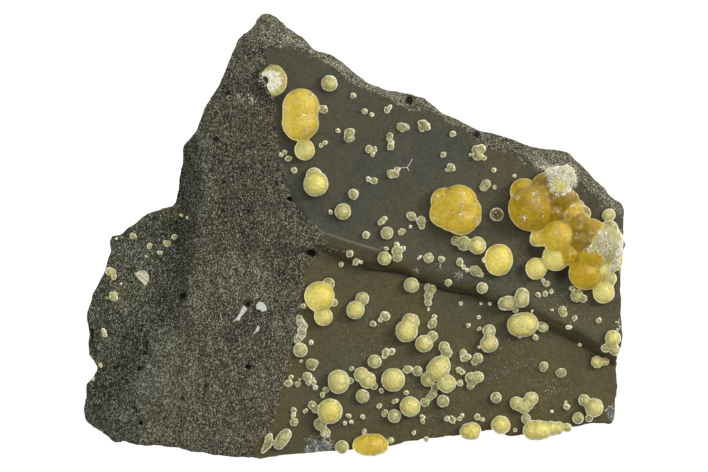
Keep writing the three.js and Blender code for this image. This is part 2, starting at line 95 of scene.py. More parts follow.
# Ridge between the lining and the big broken face, (y, x), and the same ridge without its nose.
RIDGE = [
    (-44.4, -18.4), (-42.8, -18.2), (-40.2, -17.2), (-37.8, -16.4), (-33.8, -15.4), (-28.8, -13.8),
    (-25.2, -12.8), (-21.8, -12.2), (-17.8, -11.6), (-14.2, -10.6), (-10.8, -10), (-7.2, -9.8),
    (-5.2, -8.8), (-3.6, -6.8), (-1.4, -5.8), (1, -6.8), (3.4, -9), (5, -11), (7.2, -12.6),
    (9.6, -13.2), (12.8, -13.8), (16.2, -15), (20.2, -15.6), (27.6, -16), (30.8, -18.2), (33.6, -18.2),
    (37.8, -17.2), (41.2, -18.2), (44.4, -19.2),
]
RIDGE_TREND = [
    (-44.4, -18.4), (-40.2, -17.2), (-33.8, -15.4), (-28.8, -13.8), (-21.8, -12.2), (-14.2, -10.6),
    (-7.2, -9.8), (-1.4, -9.4), (3.4, -10.4), (7.2, -12.6), (12.8, -13.8), (16.2, -15), (20.2, -15.6),
    (27.6, -16.2), (32.2, -17.6), (37.8, -17.2), (41.2, -18.2), (44.4, -19.2),
]

# The fold across the lining, (x, y): its raised crest, and the crease at its foot.
CREST = [
    (-8.4, 2), (-5.8, 0.6), (-1.8, -0.8), (4.2, -2.6), (9.2, -4.4), (15.2, -6.4), (21.2, -8),
    (27.2, -10.4), (33.2, -12.8), (39.2, -15.8), (45.2, -18.8), (49.2, -21.4), (53.2, -24.4),
]
CREASE = [
    (-6.4, -3.2), (-1.8, -5.4), (3.2, -6.8), (9.2, -7.4), (14.2, -9.4), (18.2, -11), (23.2, -11.8),
    (27.2, -13.6), (33.2, -16.2), (39.2, -18.8), (45.2, -21.8), (49.2, -24), (52.2, -26),
]

# Top and foot of the step at the left of the broken face, (y, x, z), and the fall of the lobe, (y, fall).
STEP_TOP = [
    (-42, -43.2, 13), (-36.8, -41.4, 14), (-29.8, -39.2, 15.5), (-24.4, -37.2, 16.5), (-17.2, -35, 18),
    (-12.6, -33.4, 19), (-5.6, -32.6, 20), (0.8, -31.2, 21), (8.2, -30.4, 21.5), (12.8, -30.1, 22),
    (17.4, -30.4, 22.5), (21.8, -31.8, 22),
]
STEP_FOOT = [
    (-41.4, -45.2, 12), (-35.8, -43.6, 13), (-29.6, -41.6, 14.5), (-23.2, -39.6, 15.5),
    (-16.8, -37.8, 16), (-10.8, -36.2, 15.5), (-5.2, -35.2, 15), (0.2, -34.6, 14.5), (6.4, -35.4, 14),
]
LOBE_FALL = [(-41, 0.75), (-34, 0.55), (-26, 0.55), (-16, 0.45), (-1, 0.36), (5, 0.3)]


class Dent(NamedTuple):
    """A pit in the rock: its middle, its half-widths and its depth."""

    x: float
    y: float
    along: float
    across: float
    depth: float


# Gas bubbles broken open, and the hollow in the big broken face with the deeper pits in it.
DENTS = [
    Dent(-8.6, -3.4, 1.1, 0.9, 1.2), Dent(-34.2, -12.1, 0.8, 0.8, 0.9), Dent(-21.2, -13.6, 0.7, 0.6, 1.1),
    Dent(-21.2, -26.2, 0.7, 0.4, 0.7), Dent(11, 27, 0.9, 0.9, 0.9), Dent(24.6, 20.4, 0.6, 0.6, 0.7),
    Dent(-20.8, -17.8, 4.2, 4.8, 1.3), Dent(-24.6, -20.6, 1.9, 1.6, 0.7), Dent(-18.8, -14.2, 1, 0.8, 0.8),
    Dent(-25.2, 28.6, 0.45, 0.45, 0.6), Dent(-27.6, 19.4, 0.5, 0.5, 0.5), Dent(6.2, 29.8, 0.8, 0.6, 0.8),
    Dent(-26.2, 5, 0.5, 0.3, 0.6), Dent(-20.9, 5, 0.35, 0.6, 0.6), Dent(-28.6, 13.2, 0.35, 0.4, 0.5),
    Dent(-25.9, 10.8, 0.5, 0.35, 0.5), Dent(-13, 7.4, 0.5, 0.4, 0.7), Dent(-15.4, 10.6, 0.4, 0.3, 0.4),
    Dent(-34.3, -32.4, 0.4, 0.4, 0.5), Dent(-42.8, -37.6, 0.6, 0.5, 0.7),
    Dent(-29.8, -30, 0.35, 0.3, 0.4),
]


class Crack(NamedTuple):
    """A crevice in the rock, painted dark as its shade: the line it follows, its half-width and its depth.
    """

    points: tuple[tuple[float, float], ...]
    width: float
    depth: float


CRACKS = [
    Crack(((-41.9, -19.6), (-41.6, -21), (-41.8, -22.6)), 0.2, 0.5),
    Crack(((-42, -23.2), (-41.8, -23.8)), 0.3, 0.6),
    Crack(((-43.2, -26.9), (-42.6, -26.7)), 0.3, 0.6),
    Crack(((-48.4, -26.5), (-47.4, -25.9)), 0.34, 0.6),
    Crack(((-52.7, -19), (-52.4, -22), (-52, -25)), 0.16, 0.3),
    Crack(((-44.4, -34.6), (-43.4, -35.4)), 0.24, 0.4),
]


class Spot(NamedTuple):
    """A round patch on the specimen: its middle, its reach and how dense it is."""

    x: float
    y: float
    reach: float
    density: float


# Pale rock dust, as patches and along the fold's crest.
DUST = [
    Spot(-12.6, 39.6, 1.6, 0.16), Spot(-10.6, 38, 1.5, 0.2), Spot(-8, 36.4, 1.2, 0.12),
    Spot(-16.2, 41.4, 1.2, 0.1), Spot(37.6, 14.4, 1.8, 0.22), Spot(34.2, 15.4, 1.4, 0.12),
    Spot(43.2, 12.8, 1.8, 0.2), Spot(47, 9.6, 2.2, 0.1), Spot(50.4, 6.8, 2, 0.1),
    Spot(-42.8, -9.6, 2.6, 0.1), Spot(-47.6, -12.4, 2.4, 0.12), Spot(-43.4, -3.4, 3.6, 0.1),
    Spot(12.2, -7, 0.9, 0.2), Spot(17.2, -6, 0.9, 0.16), Spot(21, -7.8, 1.1, 0.2),
    Spot(26, -8.4, 1.2, 0.1), Spot(32, -24, 7, 0.04), Spot(22, -25, 6, 0.035), Spot(38, -32, 6, 0.035),
    Spot(39, -30.4, 1.6, 0.1), Spot(43, -14, 6, 0.04), Spot(34, -8, 8, 0.02), Spot(3, -20, 8, 0.025),
    Spot(14, -33, 9, 0.03),
]
# Yellow-green films on the lobe.
STAINS = [
    Spot(-37.6, 4.4, 1.4, 0.4), Spot(-35.6, 4.8, 1.2, 0.45), Spot(-33.4, 3.8, 1, 0.4),
    Spot(-51.4, -25.6, 1.1, 0.7), Spot(-52.4, -28.4, 0.8, 0.6), Spot(-47, -10.4, 1.6, 0.3),
    Spot(-46.6, -13.6, 1.4, 0.3),
]
# Broad lighter and darker patches of the broken faces; the darker ones along the step down to the lobe are
# painted shade.
TONES = [
    Spot(-33.8, 13.6, 3.6, -0.09), Spot(-33.8, 7.6, 3.4, -0.09), Spot(-34, 1.6, 3.4, -0.1),
    Spot(-34.2, -5.2, 3.6, -0.08), Spot(-23.2, 4, 5, -0.07), Spot(-13.4, -6, 3.2, -0.1),
    Spot(-39.4, -14.6, 3.2, -0.09), Spot(-43.6, -20.4, 3.4, -0.1), Spot(-45.4, -25.6, 3, -0.08),
    Spot(-49.6, -29.8, 3.6, -0.08), Spot(-24, 14, 4, -0.05), Spot(-38, -20.4, 2.6, 0.12),
    Spot(-39.8, -24.6, 2.8, 0.12), Spot(-41.8, -29, 3, 0.12), Spot(-43.4, -33.4, 3, 0.09),
    Spot(-36, -30, 5, 0.05), Spot(-23.2, -7.6, 5, 0.07), Spot(-44.6, -38.6, 4, 0.05),
    Spot(-34, -38, 5, 0.04), Spot(-13.2, -19.4, 3, 0.06), Spot(5, 30, 3.6, 0.1), Spot(30, 18.8, 4, -0.07),
    Spot(-30.4, 19, 1.4, 0.12), Spot(-30, 14.8, 1.4, 0.12), Spot(-29.8, 10.2, 1.4, 0.1),
    Spot(-30.4, 5.4, 1.4, 0.08), Spot(-31.2, 0.4, 1.6, 0.08), Spot(48.6, 10, 3.4, -0.07),
    Spot(22, 21.4, 3, -0.04), Spot(-16.4, 35.8, 2.6, -0.06), Spot(-3.4, 33.2, 1.8, 0.09),
    Spot(30, 12, 7, -0.06), Spot(-12, 32.4, 5, -0.08), Spot(5, 23, 5, -0.05), Spot(22, 11, 4, 0.05),
]
# Painted shade: soft dark places under the big growths, and where the fold starts.
SHADES = [
    Spot(29.8, 5.8, 1.5, 0.3), Spot(30.4, 2, 1.4, 0.3), Spot(36.2, -2.6, 1.9, 0.7),
    Spot(33.4, -6.8, 1.3, 0.6),
    Spot(34.6, 0.2, 1.2, 0.4), Spot(41.6, -7.4, 2, 0.95), Spot(44.6, 5.6, 1.2, 0.4),
    Spot(38.6, -8.2, 1, 0.3), Spot(46.6, 4.6, 1.8, 0.35),
    Spot(48, 6.2, 1.4, 0.3), Spot(-14.4, 21.6, 1, 0.3), Spot(-14, 24.6, 0.8, 0.25),
    Spot(-12.6, 18.8, 1.4, 0.35), Spot(16.6, 1.6, 1.2, 0.25), Spot(19.4, 0.2, 1, 0.25),
    Spot(-2, -5.2, 1.5, 0.22), Spot(0.8, -5.9, 1.5, 0.3), Spot(-4.6, -4, 1.4, 0.14),
    Spot(-16.2, 27.2, 1.2, 0.4), Spot(24.6, -13.4, 2, 0.18), Spot(44, -20.6, 2.4, 0.12),
    Spot(-24.6, -20.2, 1.9, 0.4), Spot(-19.6, -17, 1.6, 0.25), Spot(-22.2, -18.6, 1.6, 0.2),
    Spot(46.2, 9.2, 1.8, 0.35), Spot(47.4, 7.2, 1.8, 0.35), Spot(45, 8.4, 1.2, 0.4),
]
# Chips at the lower rim that bare dark grey, half-clear crystal.
CHIPS = [
    Spot(-9.2, -42.6, 1, 1), Spot(-7.6, -41.6, 1.3, 1), Spot(-6, -41.4, 1.1, 1),
    Spot(-5.2, -42.4, 1.1, 1),
    Spot(-7, -42.8, 1.4, 1), Spot(51.2, -34.6, 0.9, 1), Spot(51.6, -36, 1.1, 1),
]
# How strong the crease at the fold's foot is along its run: the darkness of its painted shade and the depth
# of its groove, (x, darkness).
CREASE_DARKNESS = [
    (-8, 0), (-4, 0.1), (1, 0.3), (3.6, 0.85), (6, 0.95), (10, 0.7), (12, 0.55), (14, 0.9), (19, 0.95),
    (23, 0.8), (26.5, 0.25), (36, 0.1), (40, 0.4), (48, 0.5), (53, 0.4),
]

# How bright the painted highlight along the fold's crest line is along its run, (x, brightness).
CREST_LIGHT = [(-8, 0), (-6.4, 0.5), (-1.8, 0.9), (0.6, 0.7), (3.6, 1), (5.2, 0.4), (6.4, 0)]

# ---- The calcite, in millimetres ----------------------------------------------------------------


class Ball(NamedTuple):
    """One rounded lobe of a calcite growth: plan place, radius and lift above its own seat."""

    x: float
    y: float
    radius: float
    lift: float = 0.0


GROWTHS: dict[str, list[tuple[float, ...]]] = {
    "calcite_broken_ball": [(-16.6, 31, 3.3)],
    "calcite_honey_twin": [(-10.6, 25.8, 3.7), (-10.7, 22.6, 3.7), (-9.8, 17.2, 2.1)],
    "calcite_centre_cluster": [
        (21, 6.6, 3.7), (18, 7, 2.7), (17.6, 4.4, 2.6), (21.4, 3.6, 3.5), (23.4, 3.6, 2.1),
    ],
    "calcite_corner_cluster": [
        (35.3, 5.5, 4.6), (33.9, 8.8, 2.8), (38.4, 9.8, 3), (40.8, 7.8, 3.2, 0.8), (42.6, 7, 2.5),
        (39.8, 5.2, 2.8, 1), (37.8, 0.4, 2.5), (40.8, 0, 3.4, 0.8), (40.4, -4.2, 2.8), (36.4, -6.5, 2.2),
        (44.8, 2, 2.8, 1), (46.2, -0.8, 3, 1.5), (46.2, -7.4, 3.4), (49.8, -1.4, 4), (51.8, -5, 2.1),
        (45.1, 6.2, 1), (41, 10.6, 2.1, 3), (42.4, 12.4, 1.8, 2), (39.8, 12.6, 1.2, 2.2),
        (49.9, -11.3, 2.2), (51, -8.6, 1.5),
    ],
    "calcite_ball_01": [(-4.9, 30.5, 1.66)],
    "calcite_group_01": [(24.5, 17.2, 1), (25.4, 17.4, 0.96), (24.7, 16.1, 1.08), (26, 15.6, 0.52)],
    "calcite_pair_01": [(-7.6, 10.4, 2.56), (-8, 12, 1.7)],
    "calcite_pair_02": [(26.4, 10.4, 0.96), (25.9, 9.8, 0.88)],
    "calcite_ball_02": [(-2.2, 4.9, 1.66)],
    "calcite_ball_03": [(28.5, 4.3, 1.4)],
    "calcite_ball_04": [(50.9, 4.1, 1.36)],
    "calcite_pair_03": [(13.4, 3, 1), (13.5, 2, 0.72)],
    "calcite_ball_05": [(6.6, 0.6, 1.28)],
    "calcite_pale_trio": [(24.6, -1.9, 1.8), (22, -1.5, 1.5), (20.3, -1, 0.96)],
    "calcite_group_02": [(8.6, -3, 1.12), (8.7, -4.2, 1), (8.5, -1.7, 0.6), (9.8, -2.5, 0.6)],
    "calcite_ball_06": [(6.1, -4.5, 1.4)],
    "calcite_ball_07": [(14.9, -4.4, 1.06)],
    "calcite_group_03": [(28.9, -4.4, 2.86), (28.9, -5.2, 2.8), (26.1, -4.8, 0.64)],
    "calcite_ball_08": [(11.5, -9.8, 1.56)],
    "calcite_ball_09": [(25.6, -10.4, 1.2)],
    "calcite_group_04": [(14.8, -10.3, 0.84), (15.6, -10.6, 0.92), (14.9, -11.9, 0.92), (14.8, -13.3, 0.8)],
    "calcite_group_05": [(-6.9, -12.1, 3.06), (-5.1, -9.6, 1.3), (-6.1, -16.1, 1.92), (-4, -13.3, 0.85)],
    "calcite_pair_04": [(44.5, -11.9, 1.3), (45.8, -12.5, 0.84)],
    "calcite_group_06": [(30.1, -13.5, 1.4), (31.1, -13.4, 1.44), (33.6, -11.7, 1.4), (33.5, -12.9, 1.48)],
    "calcite_pair_05": [(0.3, -14.8, 1.86), (1.7, -12.5, 1.36)],
    "calcite_pair_06": [(11.3, -17.2, 1.8), (10.5, -19, 2.26)],
    "calcite_group_07": [(33, -17.8, 2.4), (34.4, -17.6, 2.46), (33.1, -20, 0.6), (37.8, -18.1, 1.2)],
    "calcite_pale_bar": [(-10.7, -17.2, 0.84), (-10.4, -18.8, 0.92), (-10.8, -20.2, 0.84)],
    "calcite_pair_07": [(27, -19, 1.36), (27, -21.5, 1.84)],
    "calcite_group_08": [(51.7, -20.4, 1.6), (50.2, -22.4, 0.9), (52.1, -22.8, 1.1), (51, -22.4, 0.8)],
    "calcite_pair_08": [(14, -21.5, 1.8), (15.7, -20, 1.1)],
    "calcite_ball_10": [(-10.7, -22.8, 1.46)],
    "calcite_pair_09": [(24.8, -24.4, 1.06), (24.1, -25.2, 0.72)],
    "calcite_ball_11": [(4.1, -25.1, 1.4)],
    "calcite_pair_10": [(48.6, -25.2, 1.26), (50.2, -25.1, 0.88)],
    "calcite_group_09": [(1.5, -27.7, 1.56), (2.7, -28.8, 1.7), (4, -30, 0.8)],
    "calcite_group_10": [(-3.1, -28.8, 2.16), (-3.1, -29.5, 2.08), (-0.7, -28.9, 0.7)],
    "calcite_long_bunch": [
        (16.6, -26.8, 2.2), (17.3, -26, 2.1), (18, -22.2, 1.16), (18.5, -23.4, 1.16), (14.8, -28.6, 1.5),
        (18.5, -29.5, 1.9), (16.2, -30.2, 0.8), (15.8, -31.5, 0.9), (15.1, -32.3, 0.76),
        (14.2, -33.3, 0.96),
    ],
    "calcite_ball_12": [(12.7, -27, 1.04)],
    "calcite_ball_13": [(7.8, -28.7, 2.4)],
    "calcite_group_11": [(23.3, -28.4, 1.2), (24.8, -28.2, 1.2), (24, -29, 0.8), (23.3, -30, 0.76)],
    "calcite_ball_14": [(1.7, -32, 1.4)],
    "calcite_ball_15": [(28.4, -32.3, 1.14)],
    "calcite_group_12": [(32.5, -33.4, 1.36), (34, -34.2, 1.36), (35.4, -32.5, 1.46)],
    "calcite_group_13": [(46, -32.8, 1.2), (48, -34.3, 1.9), (47, -36.4, 0.84)],
    "calcite_ball_16": [(17.8, -33, 1.28)],
    "calcite_ball_17": [(11.2, -34.1, 2.08)],
    "calcite_group_14": [
        (-4.8, -35, 2.56), (-6.7, -37.6, 1.35), (-5.7, -39.4, 1.1), (-8.4, -33.8, 0.88),
        (-7.6, -34.6, 0.88),
    ],
    "calcite_ball_18": [(8.1, -36, 1.36)],
    "calcite_ball_19": [(44.8, -36.4, 1.2)],
    "calcite_ball_20": [(29.3, -37.8, 1.92)],
    "calcite_rim_row": [
        (35.7, -38.9, 2), (37.9, -38.8, 1.9), (34.3, -36.5, 1), (40.7, -38.4, 1.4), (42.6, -38.3, 1),
    ],
    "calcite_pair_11": [(23.6, -39, 1.86), (22.2, -39.3, 1)],
    "calcite_group_15": [(-17, -40.6, 0.9), (-17.3, -41.8, 0.8), (-17.8, -42.5, 0.6), (-18.2, -43.1, 0.46)],
    "calcite_pair_12": [(-15, -41.6, 1.16), (-14, -40.2, 1.3)],
    "calcite_ball_21": [(-2.4, -42.2, 1.4)],
    "calcite_rim_honey": [(3.6, -41.8, 2.34), (1.6, -41.9, 1.9), (5.1, -41.9, 1.86)],
}

# Further lobes that round out a growth, with no solid of their own.
MORE_LOBES: dict[str, list[tuple[float, ...]]] = {
    "calcite_honey_twin": [(-10.7, 24.2, 3.6)],
    "calcite_centre_cluster": [(19.8, 5.4, 3.4, 0.2), (19.4, 3.8, 2.9), (22.4, 5, 3.2)],
    "calcite_corner_cluster": [
        (43.4, 4.6, 2.4, 0.9), (42.2, 3, 2.4, 1.2), (43.4, -0.4, 2.4, 1.3), (43.2, -3.4, 2.5, 1.1),
        (37, 7.4, 3.4, 0.6), (38.2, 3.2, 2.6, 0.4), (47.6, -3.6, 3, 1.4), (38.4, 7.2, 3.2, 0.6),
        (51, 1.3, 1.9, 1.3), (52, -0.6, 1.9, 1), (52.1, -2.8, 1.7, 0.8), (51.7, -4.8, 1.5, 0.6),
        (39.1, 12.8, 1, 1.4), (40.6, 12.9, 1.2, 1.6), (42.2, 12.6, 1.3, 1.4), (43.5, 11.4, 1, 1.4),
        (49.4, -6.6, 2, 0.5), (36.6, -0.6, 1.6), (45.6, 4.4, 1.8, 0.4),
        (40.9, 9.9, 1.8, 3.2), (47.5, 0.6, 2.9, 1.6),
    ],
    "calcite_group_12": [(33.3, -33.8, 1.36), (34.7, -33.4, 1.4)],
    "calcite_group_15": [
        (-16.8, -40, 0.6), (-17.1, -41.2, 0.86), (-17.5, -42.1, 0.72), (-18, -42.8, 0.54),
        (-16.4, -41.2, 0.6),
    ],
    "calcite_pair_12": [(-14.5, -40.9, 1.25), (-13.5, -39.6, 1.1)],
    "calcite_rim_row": [(36.8, -38.8, 2.1), (39.4, -38.5, 1.6)],
    "calcite_rim_honey": [(2.6, -41.8, 2.3), (4.4, -41.7, 2.2)],
    "calcite_pair_11": [(22.9, -39.1, 1.75)],
    "calcite_group_03": [(28.9, -4.8, 2.9)],
    "calcite_group_07": [(33.7, -17.7, 2.5)],
    "calcite_group_06": [(30.6, -13.4, 1.5), (33.5, -12.3, 1.5)],
    "calcite_long_bunch": [(17, -26.4, 2.25)],
    "calcite_pale_bar": [
        (-10.9, -16.4, 0.66), (-10.1, -18, 0.84), (-10.4, -19.5, 0.84), (-11.3, -20.9, 0.66),
    ],
}

# How ripe the honey colour is, from 0 clear to 1 amber, for each ball of a growth in turn.
RIPENESS: dict[str, tuple[float, ...]] = {
    "calcite_broken_ball": (0.24,),
    "calcite_honey_twin": (0.71, 0.71, 0.3, 0.71),
    "calcite_centre_cluster": (0.78, 0.78, 0.78, 0.81, 0.8, 0.82, 0.81, 0.79),
    "calcite_corner_cluster": (
        0.93, 0.88, 1, 0.98, 1, 0.97, 0.62, 0.8, 0.4, 0.34, 0.97, 0.98, 0.88, 0.17, 0.4, 0.02, 0.42,
        0.2, 0.14, 0.33, 0.2, 0.86, 0.97, 0.95, 0.9, 0.97, 0.97, 0.9, 1, 0.08, 0.12, 0.2, 0.26, 0.14,
        0.14, 0.14, 0.14, 0.28, 0.16, 0.06, 0.26, 0.94,
    ),
    "calcite_ball_03": (-0.06,),
    "calcite_group_03": (0.52, 0.52, 0.12, 0.52),
    "calcite_group_05": (0.5, 0.1, 0.36, 0.1),
    "calcite_group_08": (0.42, 0.14, 0.18, 0.14),
    "calcite_group_09": (0.3, 0.32, 0.14),
    "calcite_group_12": (0.27, 0.27, 0.3, 0.27, 0.27),
    "calcite_pair_10": (0.38, 0.26),
    "calcite_group_14": (0.5, 0.16, 0.2, 0.1, 0.1),
    "calcite_rim_honey": (0.72, 0.64, 0.68, 0.72, 0.72),
    "calcite_rim_row": (0.44, 0.42, 0.14, 0.34, 0.24, 0.44, 0.36),
    "calcite_pair_11": (0.5, 0.24, 0.5),
    "calcite_ball_20": (0.42,),
    "calcite_ball_17": (0.4,),
    "calcite_ball_13": (0.38,),
    "calcite_pair_05": (0.36, 0.22),
    "calcite_pale_trio": (0.38, 0.16, 0.1),
    "calcite_pale_bar": (0.1,) * 7,
}
HONEY_RADIUS = 2.6  # a growth with a ball bigger than this takes the honey calcite material

# Beads too small to be growths, (x, y, radius).
BEADS = [
    (-0.2, 28, 0.6), (2.1, 24.9, 0.6), (3.5, 24.3, 0.46), (-6.1, 25.3, 0.8), (-3.2, 21, 0.4),
    (-0.9, 20.6, 0.9), (-1, 19.6, 1), (-6.6, 18.1, 0.46), (-5.8, 18.6, 0.52), (3, 17.4, 0.84),
    (4, 17.2, 0.72), (3.7, 16.4, 0.56), (-14.5, 16.3, 0.42), (-13.9, 16.7, 0.44), (6.6, 25.2, 0.6),
    (7.2, 25.7, 0.6), (19.7, 20.4, 0.66), (17.8, 16.2, 0.64), (19.4, 13.7, 0.9), (18.6, 13.2, 0.4),
    (23.2, 16.2, 0.4), (27.9, 13.2, 0.52), (32, 12, 0.4), (-13.1, 15.4, 0.64), (-11.9, 13.1, 0.56),
    (-4.7, 4.8, 0.44), (2.4, 0.2, 0.76), (9.5, 0.9, 0.6), (6.4, -2.5, 0.44), (11.2, 1.9, 0.36),
    (28.1, 9.8, 0.56), (-0.9, -3.5, 0.7), (-2.6, -5.7, 0.56), (0.5, -5.1, 0.84), (1.4, -5.2, 0.46),
    (3.8, -17.6, 0.64), (-8.6, -21.3, 0.44), (-10.6, -25, 0.4), (14.9, -14.6, 0.32), (13.1, -4.3, 0.44),
    (21.1, -5.2, 0.76), (21.9, -6.2, 0.4), (22.6, -6.8, 0.4), (21.4, -13.5, 0.4), (25.4, -13.5, 0.3),
    (27.1, -13.5, 0.4), (24.9, -16.2, 0.52), (22.8, -17.9, 0.56), (25.1, -18.5, 0.5), (37.8, -8.9, 0.56),
    (38.4, -9.5, 0.64), (36.8, -11.8, 0.54), (38.2, -11.6, 0.64), (39.4, -11.1, 0.52), (32.3, -14.8, 0.6),
    (35.6, -15, 0.3), (39.6, -14.8, 0.4), (44.1, -16.4, 0.56), (42.9, -18.2, 0.56), (48.9, -16.9, 0.68),
    (36.3, -20.3, 0.64), (45.2, -21.7, 0.4), (-10.1, -14, 0.56), (-11.3, -29.6, 0.6), (-10.8, -28.7, 0.4),
    (-8.1, -29.4, 0.52), (-7.7, -30.2, 0.52), (-8.2, -28.6, 0.3), (-5.7, -30.7, 0.66), (-6.3, -31.7, 0.6),
    (-0.5, -26.5, 0.6), (-9.7, -35, 0.56), (-12.1, -34.8, 0.6), (-12.1, -35.9, 0.48), (-12, -37.2, 0.8),
    (-1.9, -37.4, 0.52), (-1.1, -36, 0.52), (-0.5, -37.2, 0.48), (1.7, -36.1, 0.6), (2, -39.1, 0.5),
    (5, -34, 0.54), (5.4, -30.9, 0.56), (10.4, -31.3, 0.6), (8.2, -33, 0.64), (6.1, -35.4, 0.68),
    (13.7, -36.1, 0.48), (13.7, -37, 0.48), (21.1, -36.5, 0.5), (21.6, -35.9, 0.5), (24.7, -36.2, 0.52),
    (25.8, -36.7, 0.5), (20.9, -26.8, 0.56), (21.7, -27.2, 0.56), (21.2, -29.4, 0.6), (39.5, -35.1, 0.42),
    (32.2, -38.8, 0.4), (7.3, -40.8, 0.8), (12, -39.3, 0.42), (14.4, -40.7, 0.6), (25, -22.2, 0.4),
    (43.6, -10.5, 0.6), (9.4, 21.8, 0.92), (10.2, 21.8, 0.88), (9.7, 21.1, 0.56), (13.7, 22.6, 0.84),
    (14.3, 22, 1), (13.6, 21.6, 0.68), (7.1, 19.8, 0.78), (7.5, 18.8, 0.64), (7.3, 17.9, 0.84),
    (7.4, 12.4, 0.82), (8.2, 12.5, 0.76), (8.6, 13.2, 0.68), (-0.1, 8.4, 1), (2.9, 11.4, 0.6),
    (4, 11, 0.72), (5.5, 2.9, 0.84), (6.2, 3.5, 0.52), (11.5, 3.9, 0.92), (6.2, -16, 1.06),
    (5.4, -16.7, 0.6), (17.5, -4.6, 0.76), (24.3, -7, 1.06), (25.2, -7.7, 0.66), (18.8, -9.4, 0.86),
    (15.6, -17.5, 1.04), (16.1, -16.2, 0.52), (41.6, -14.9, 0.86), (41.9, -15.6, 0.6),
    (-8.5, -25.7, 1.04),
    (-7.9, -25.3, 0.84), (-8.3, -26.3, 0.6), (-12.6, -28.3, 0.64), (-13.1, -29.4, 0.76),
    (-9.3, -28.1, 0.8),
    (-9.1, -29.2, 0.6), (6.4, -23.3, 0.8), (6, -24.1, 0.56), (7.5, -23.1, 0.6), (18.6, -36.5, 0.7),
    (19.7, -36.7, 0.7), (21.8, -23.3, 0.64), (22.3, -24.3, 1), (37.9, -26.1, 0.9), (41.4, -27.3, 0.86),
    (42.5, -34.1, 0.78), (42.3, -33.2, 0.36), (10.6, -26.7, 0.8), (11.4, -26.6, 0.4),
]

# Beads on the lobe, greener than those on the lining.
LOBE_BEADS = [
    (-44.4, 0, 0.66), (-36.1, -0.1, 0.56), (-41.1, -2, 0.56), (-37.6, -1.5, 0.64), (-39, -3.4, 0.6),
    (-41.6, -4.1, 0.4), (-49, -7.2, 1.05), (-48.3, -8.2, 0.6), (-48.4, -12, 0.86), (-48, -12.6, 0.6),
    (-47.8, -0.6, 0.26), (-47.2, -2.3, 0.26), (-45.2, -3, 0.24), (-40.4, -3.4, 0.24), (-40.6, -5, 0.2),
    (-34.6, 4.2, 0.4), (-33.4, 3.7, 0.26), (-46.9, -9.6, 0.3), (-49.6, -12.6, 0.32), (-50.3, -19.2, 0.56),
    (-50.2, -20, 0.4), (-51, -26, 0.52), (-52.6, -28.8, 0.36), (-38.2, -4.6, 0.2), (-42.6, -5.4, 0.2),
]

# Flat white fillings lying in the rock: corners in order, (x, y).
FILLINGS: dict[str, list[tuple[float, float]]] = {
    "filling_long_sliver": [
        (-22.2, -13.9), (-21.4, -14.6), (-22, -15.6), (-22.7, -16.2), (-22.9, -17), (-23.6, -16.9),
        (-24.6, -17.5), (-23.6, -16.5), (-23, -15.6), (-22.6, -14.6),
    ],
    "filling_blob": [
        (-19.7, -13.9), (-18.9, -13.1), (-18.1, -13.3), (-17.5, -14), (-17.4, -14.9), (-18.4, -15.2),
        (-19, -14.7), (-19.5, -14.7),
    ],
    "filling_short_sliver": [
        (-19.3, -17.9), (-18.8, -18.3), (-19.2, -19.1), (-19.9, -19.5), (-20.5, -20.1), (-19.8, -19),
    ],
}


# A fan-shaped blade on the lobe, (x, y), and a fibre with its side branch on the lining.
BLADE = [
    (-44.2, -7.5), (-43.2, -7), (-42.3, -6.9), (-41.5, -7.4), (-41.2, -8.2), (-41.3, -9.2), (-42, -10.1),
    (-42.5, -9.5), (-43.3, -8.7),
]
WHISKER = (((9.2, 13.6), (10.6, 13.7), (11.2, 14.5), (11.6, 15.4)), ((10.6, 13.7), (11, 13)))

# Crusts of white crystals on the growths, and fine glittering druse on their lobes.
CRUSTS = [
    Spot(39.3, 12.8, 1.4, 0.6), Spot(40.8, 12.9, 1.6, 0.6), Spot(42.3, 12.3, 2, 0.62),
    Spot(43.4, 11.4, 1.5, 0.7), Spot(40.4, 10.2, 0.9, 0.25), Spot(43.9, 10.2, 0.8, 0.8),
    Spot(42.8, 9.4, 0.8, 0.9), Spot(41.8, 8.6, 0.6, 0.8),
    Spot(40.6, 8.3, 0.5, 0.6), Spot(39.5, 9.1, 0.6, 0.7), Spot(39, 10.2, 0.6, 0.8),
    Spot(39.3, 11.4, 0.8, 0.9),
    Spot(51.8, 2.4, 0.6, 0.3), Spot(53, 0.8, 0.6, 0.5), Spot(53.3, -1.4, 0.9, 0.7),
    Spot(53, -3.2, 1.1, 0.75),
    Spot(52.6, -5.2, 1, 0.7), Spot(51.6, -6.4, 0.9, 0.5), Spot(-10.5, -18, 1.4, 0.3),
    Spot(-11, -20.2, 1.1, 0.4),
    Spot(-5.7, -39.9, 0.9, 0.3), Spot(-18.6, 31.3, 0.6, 0.5),
]
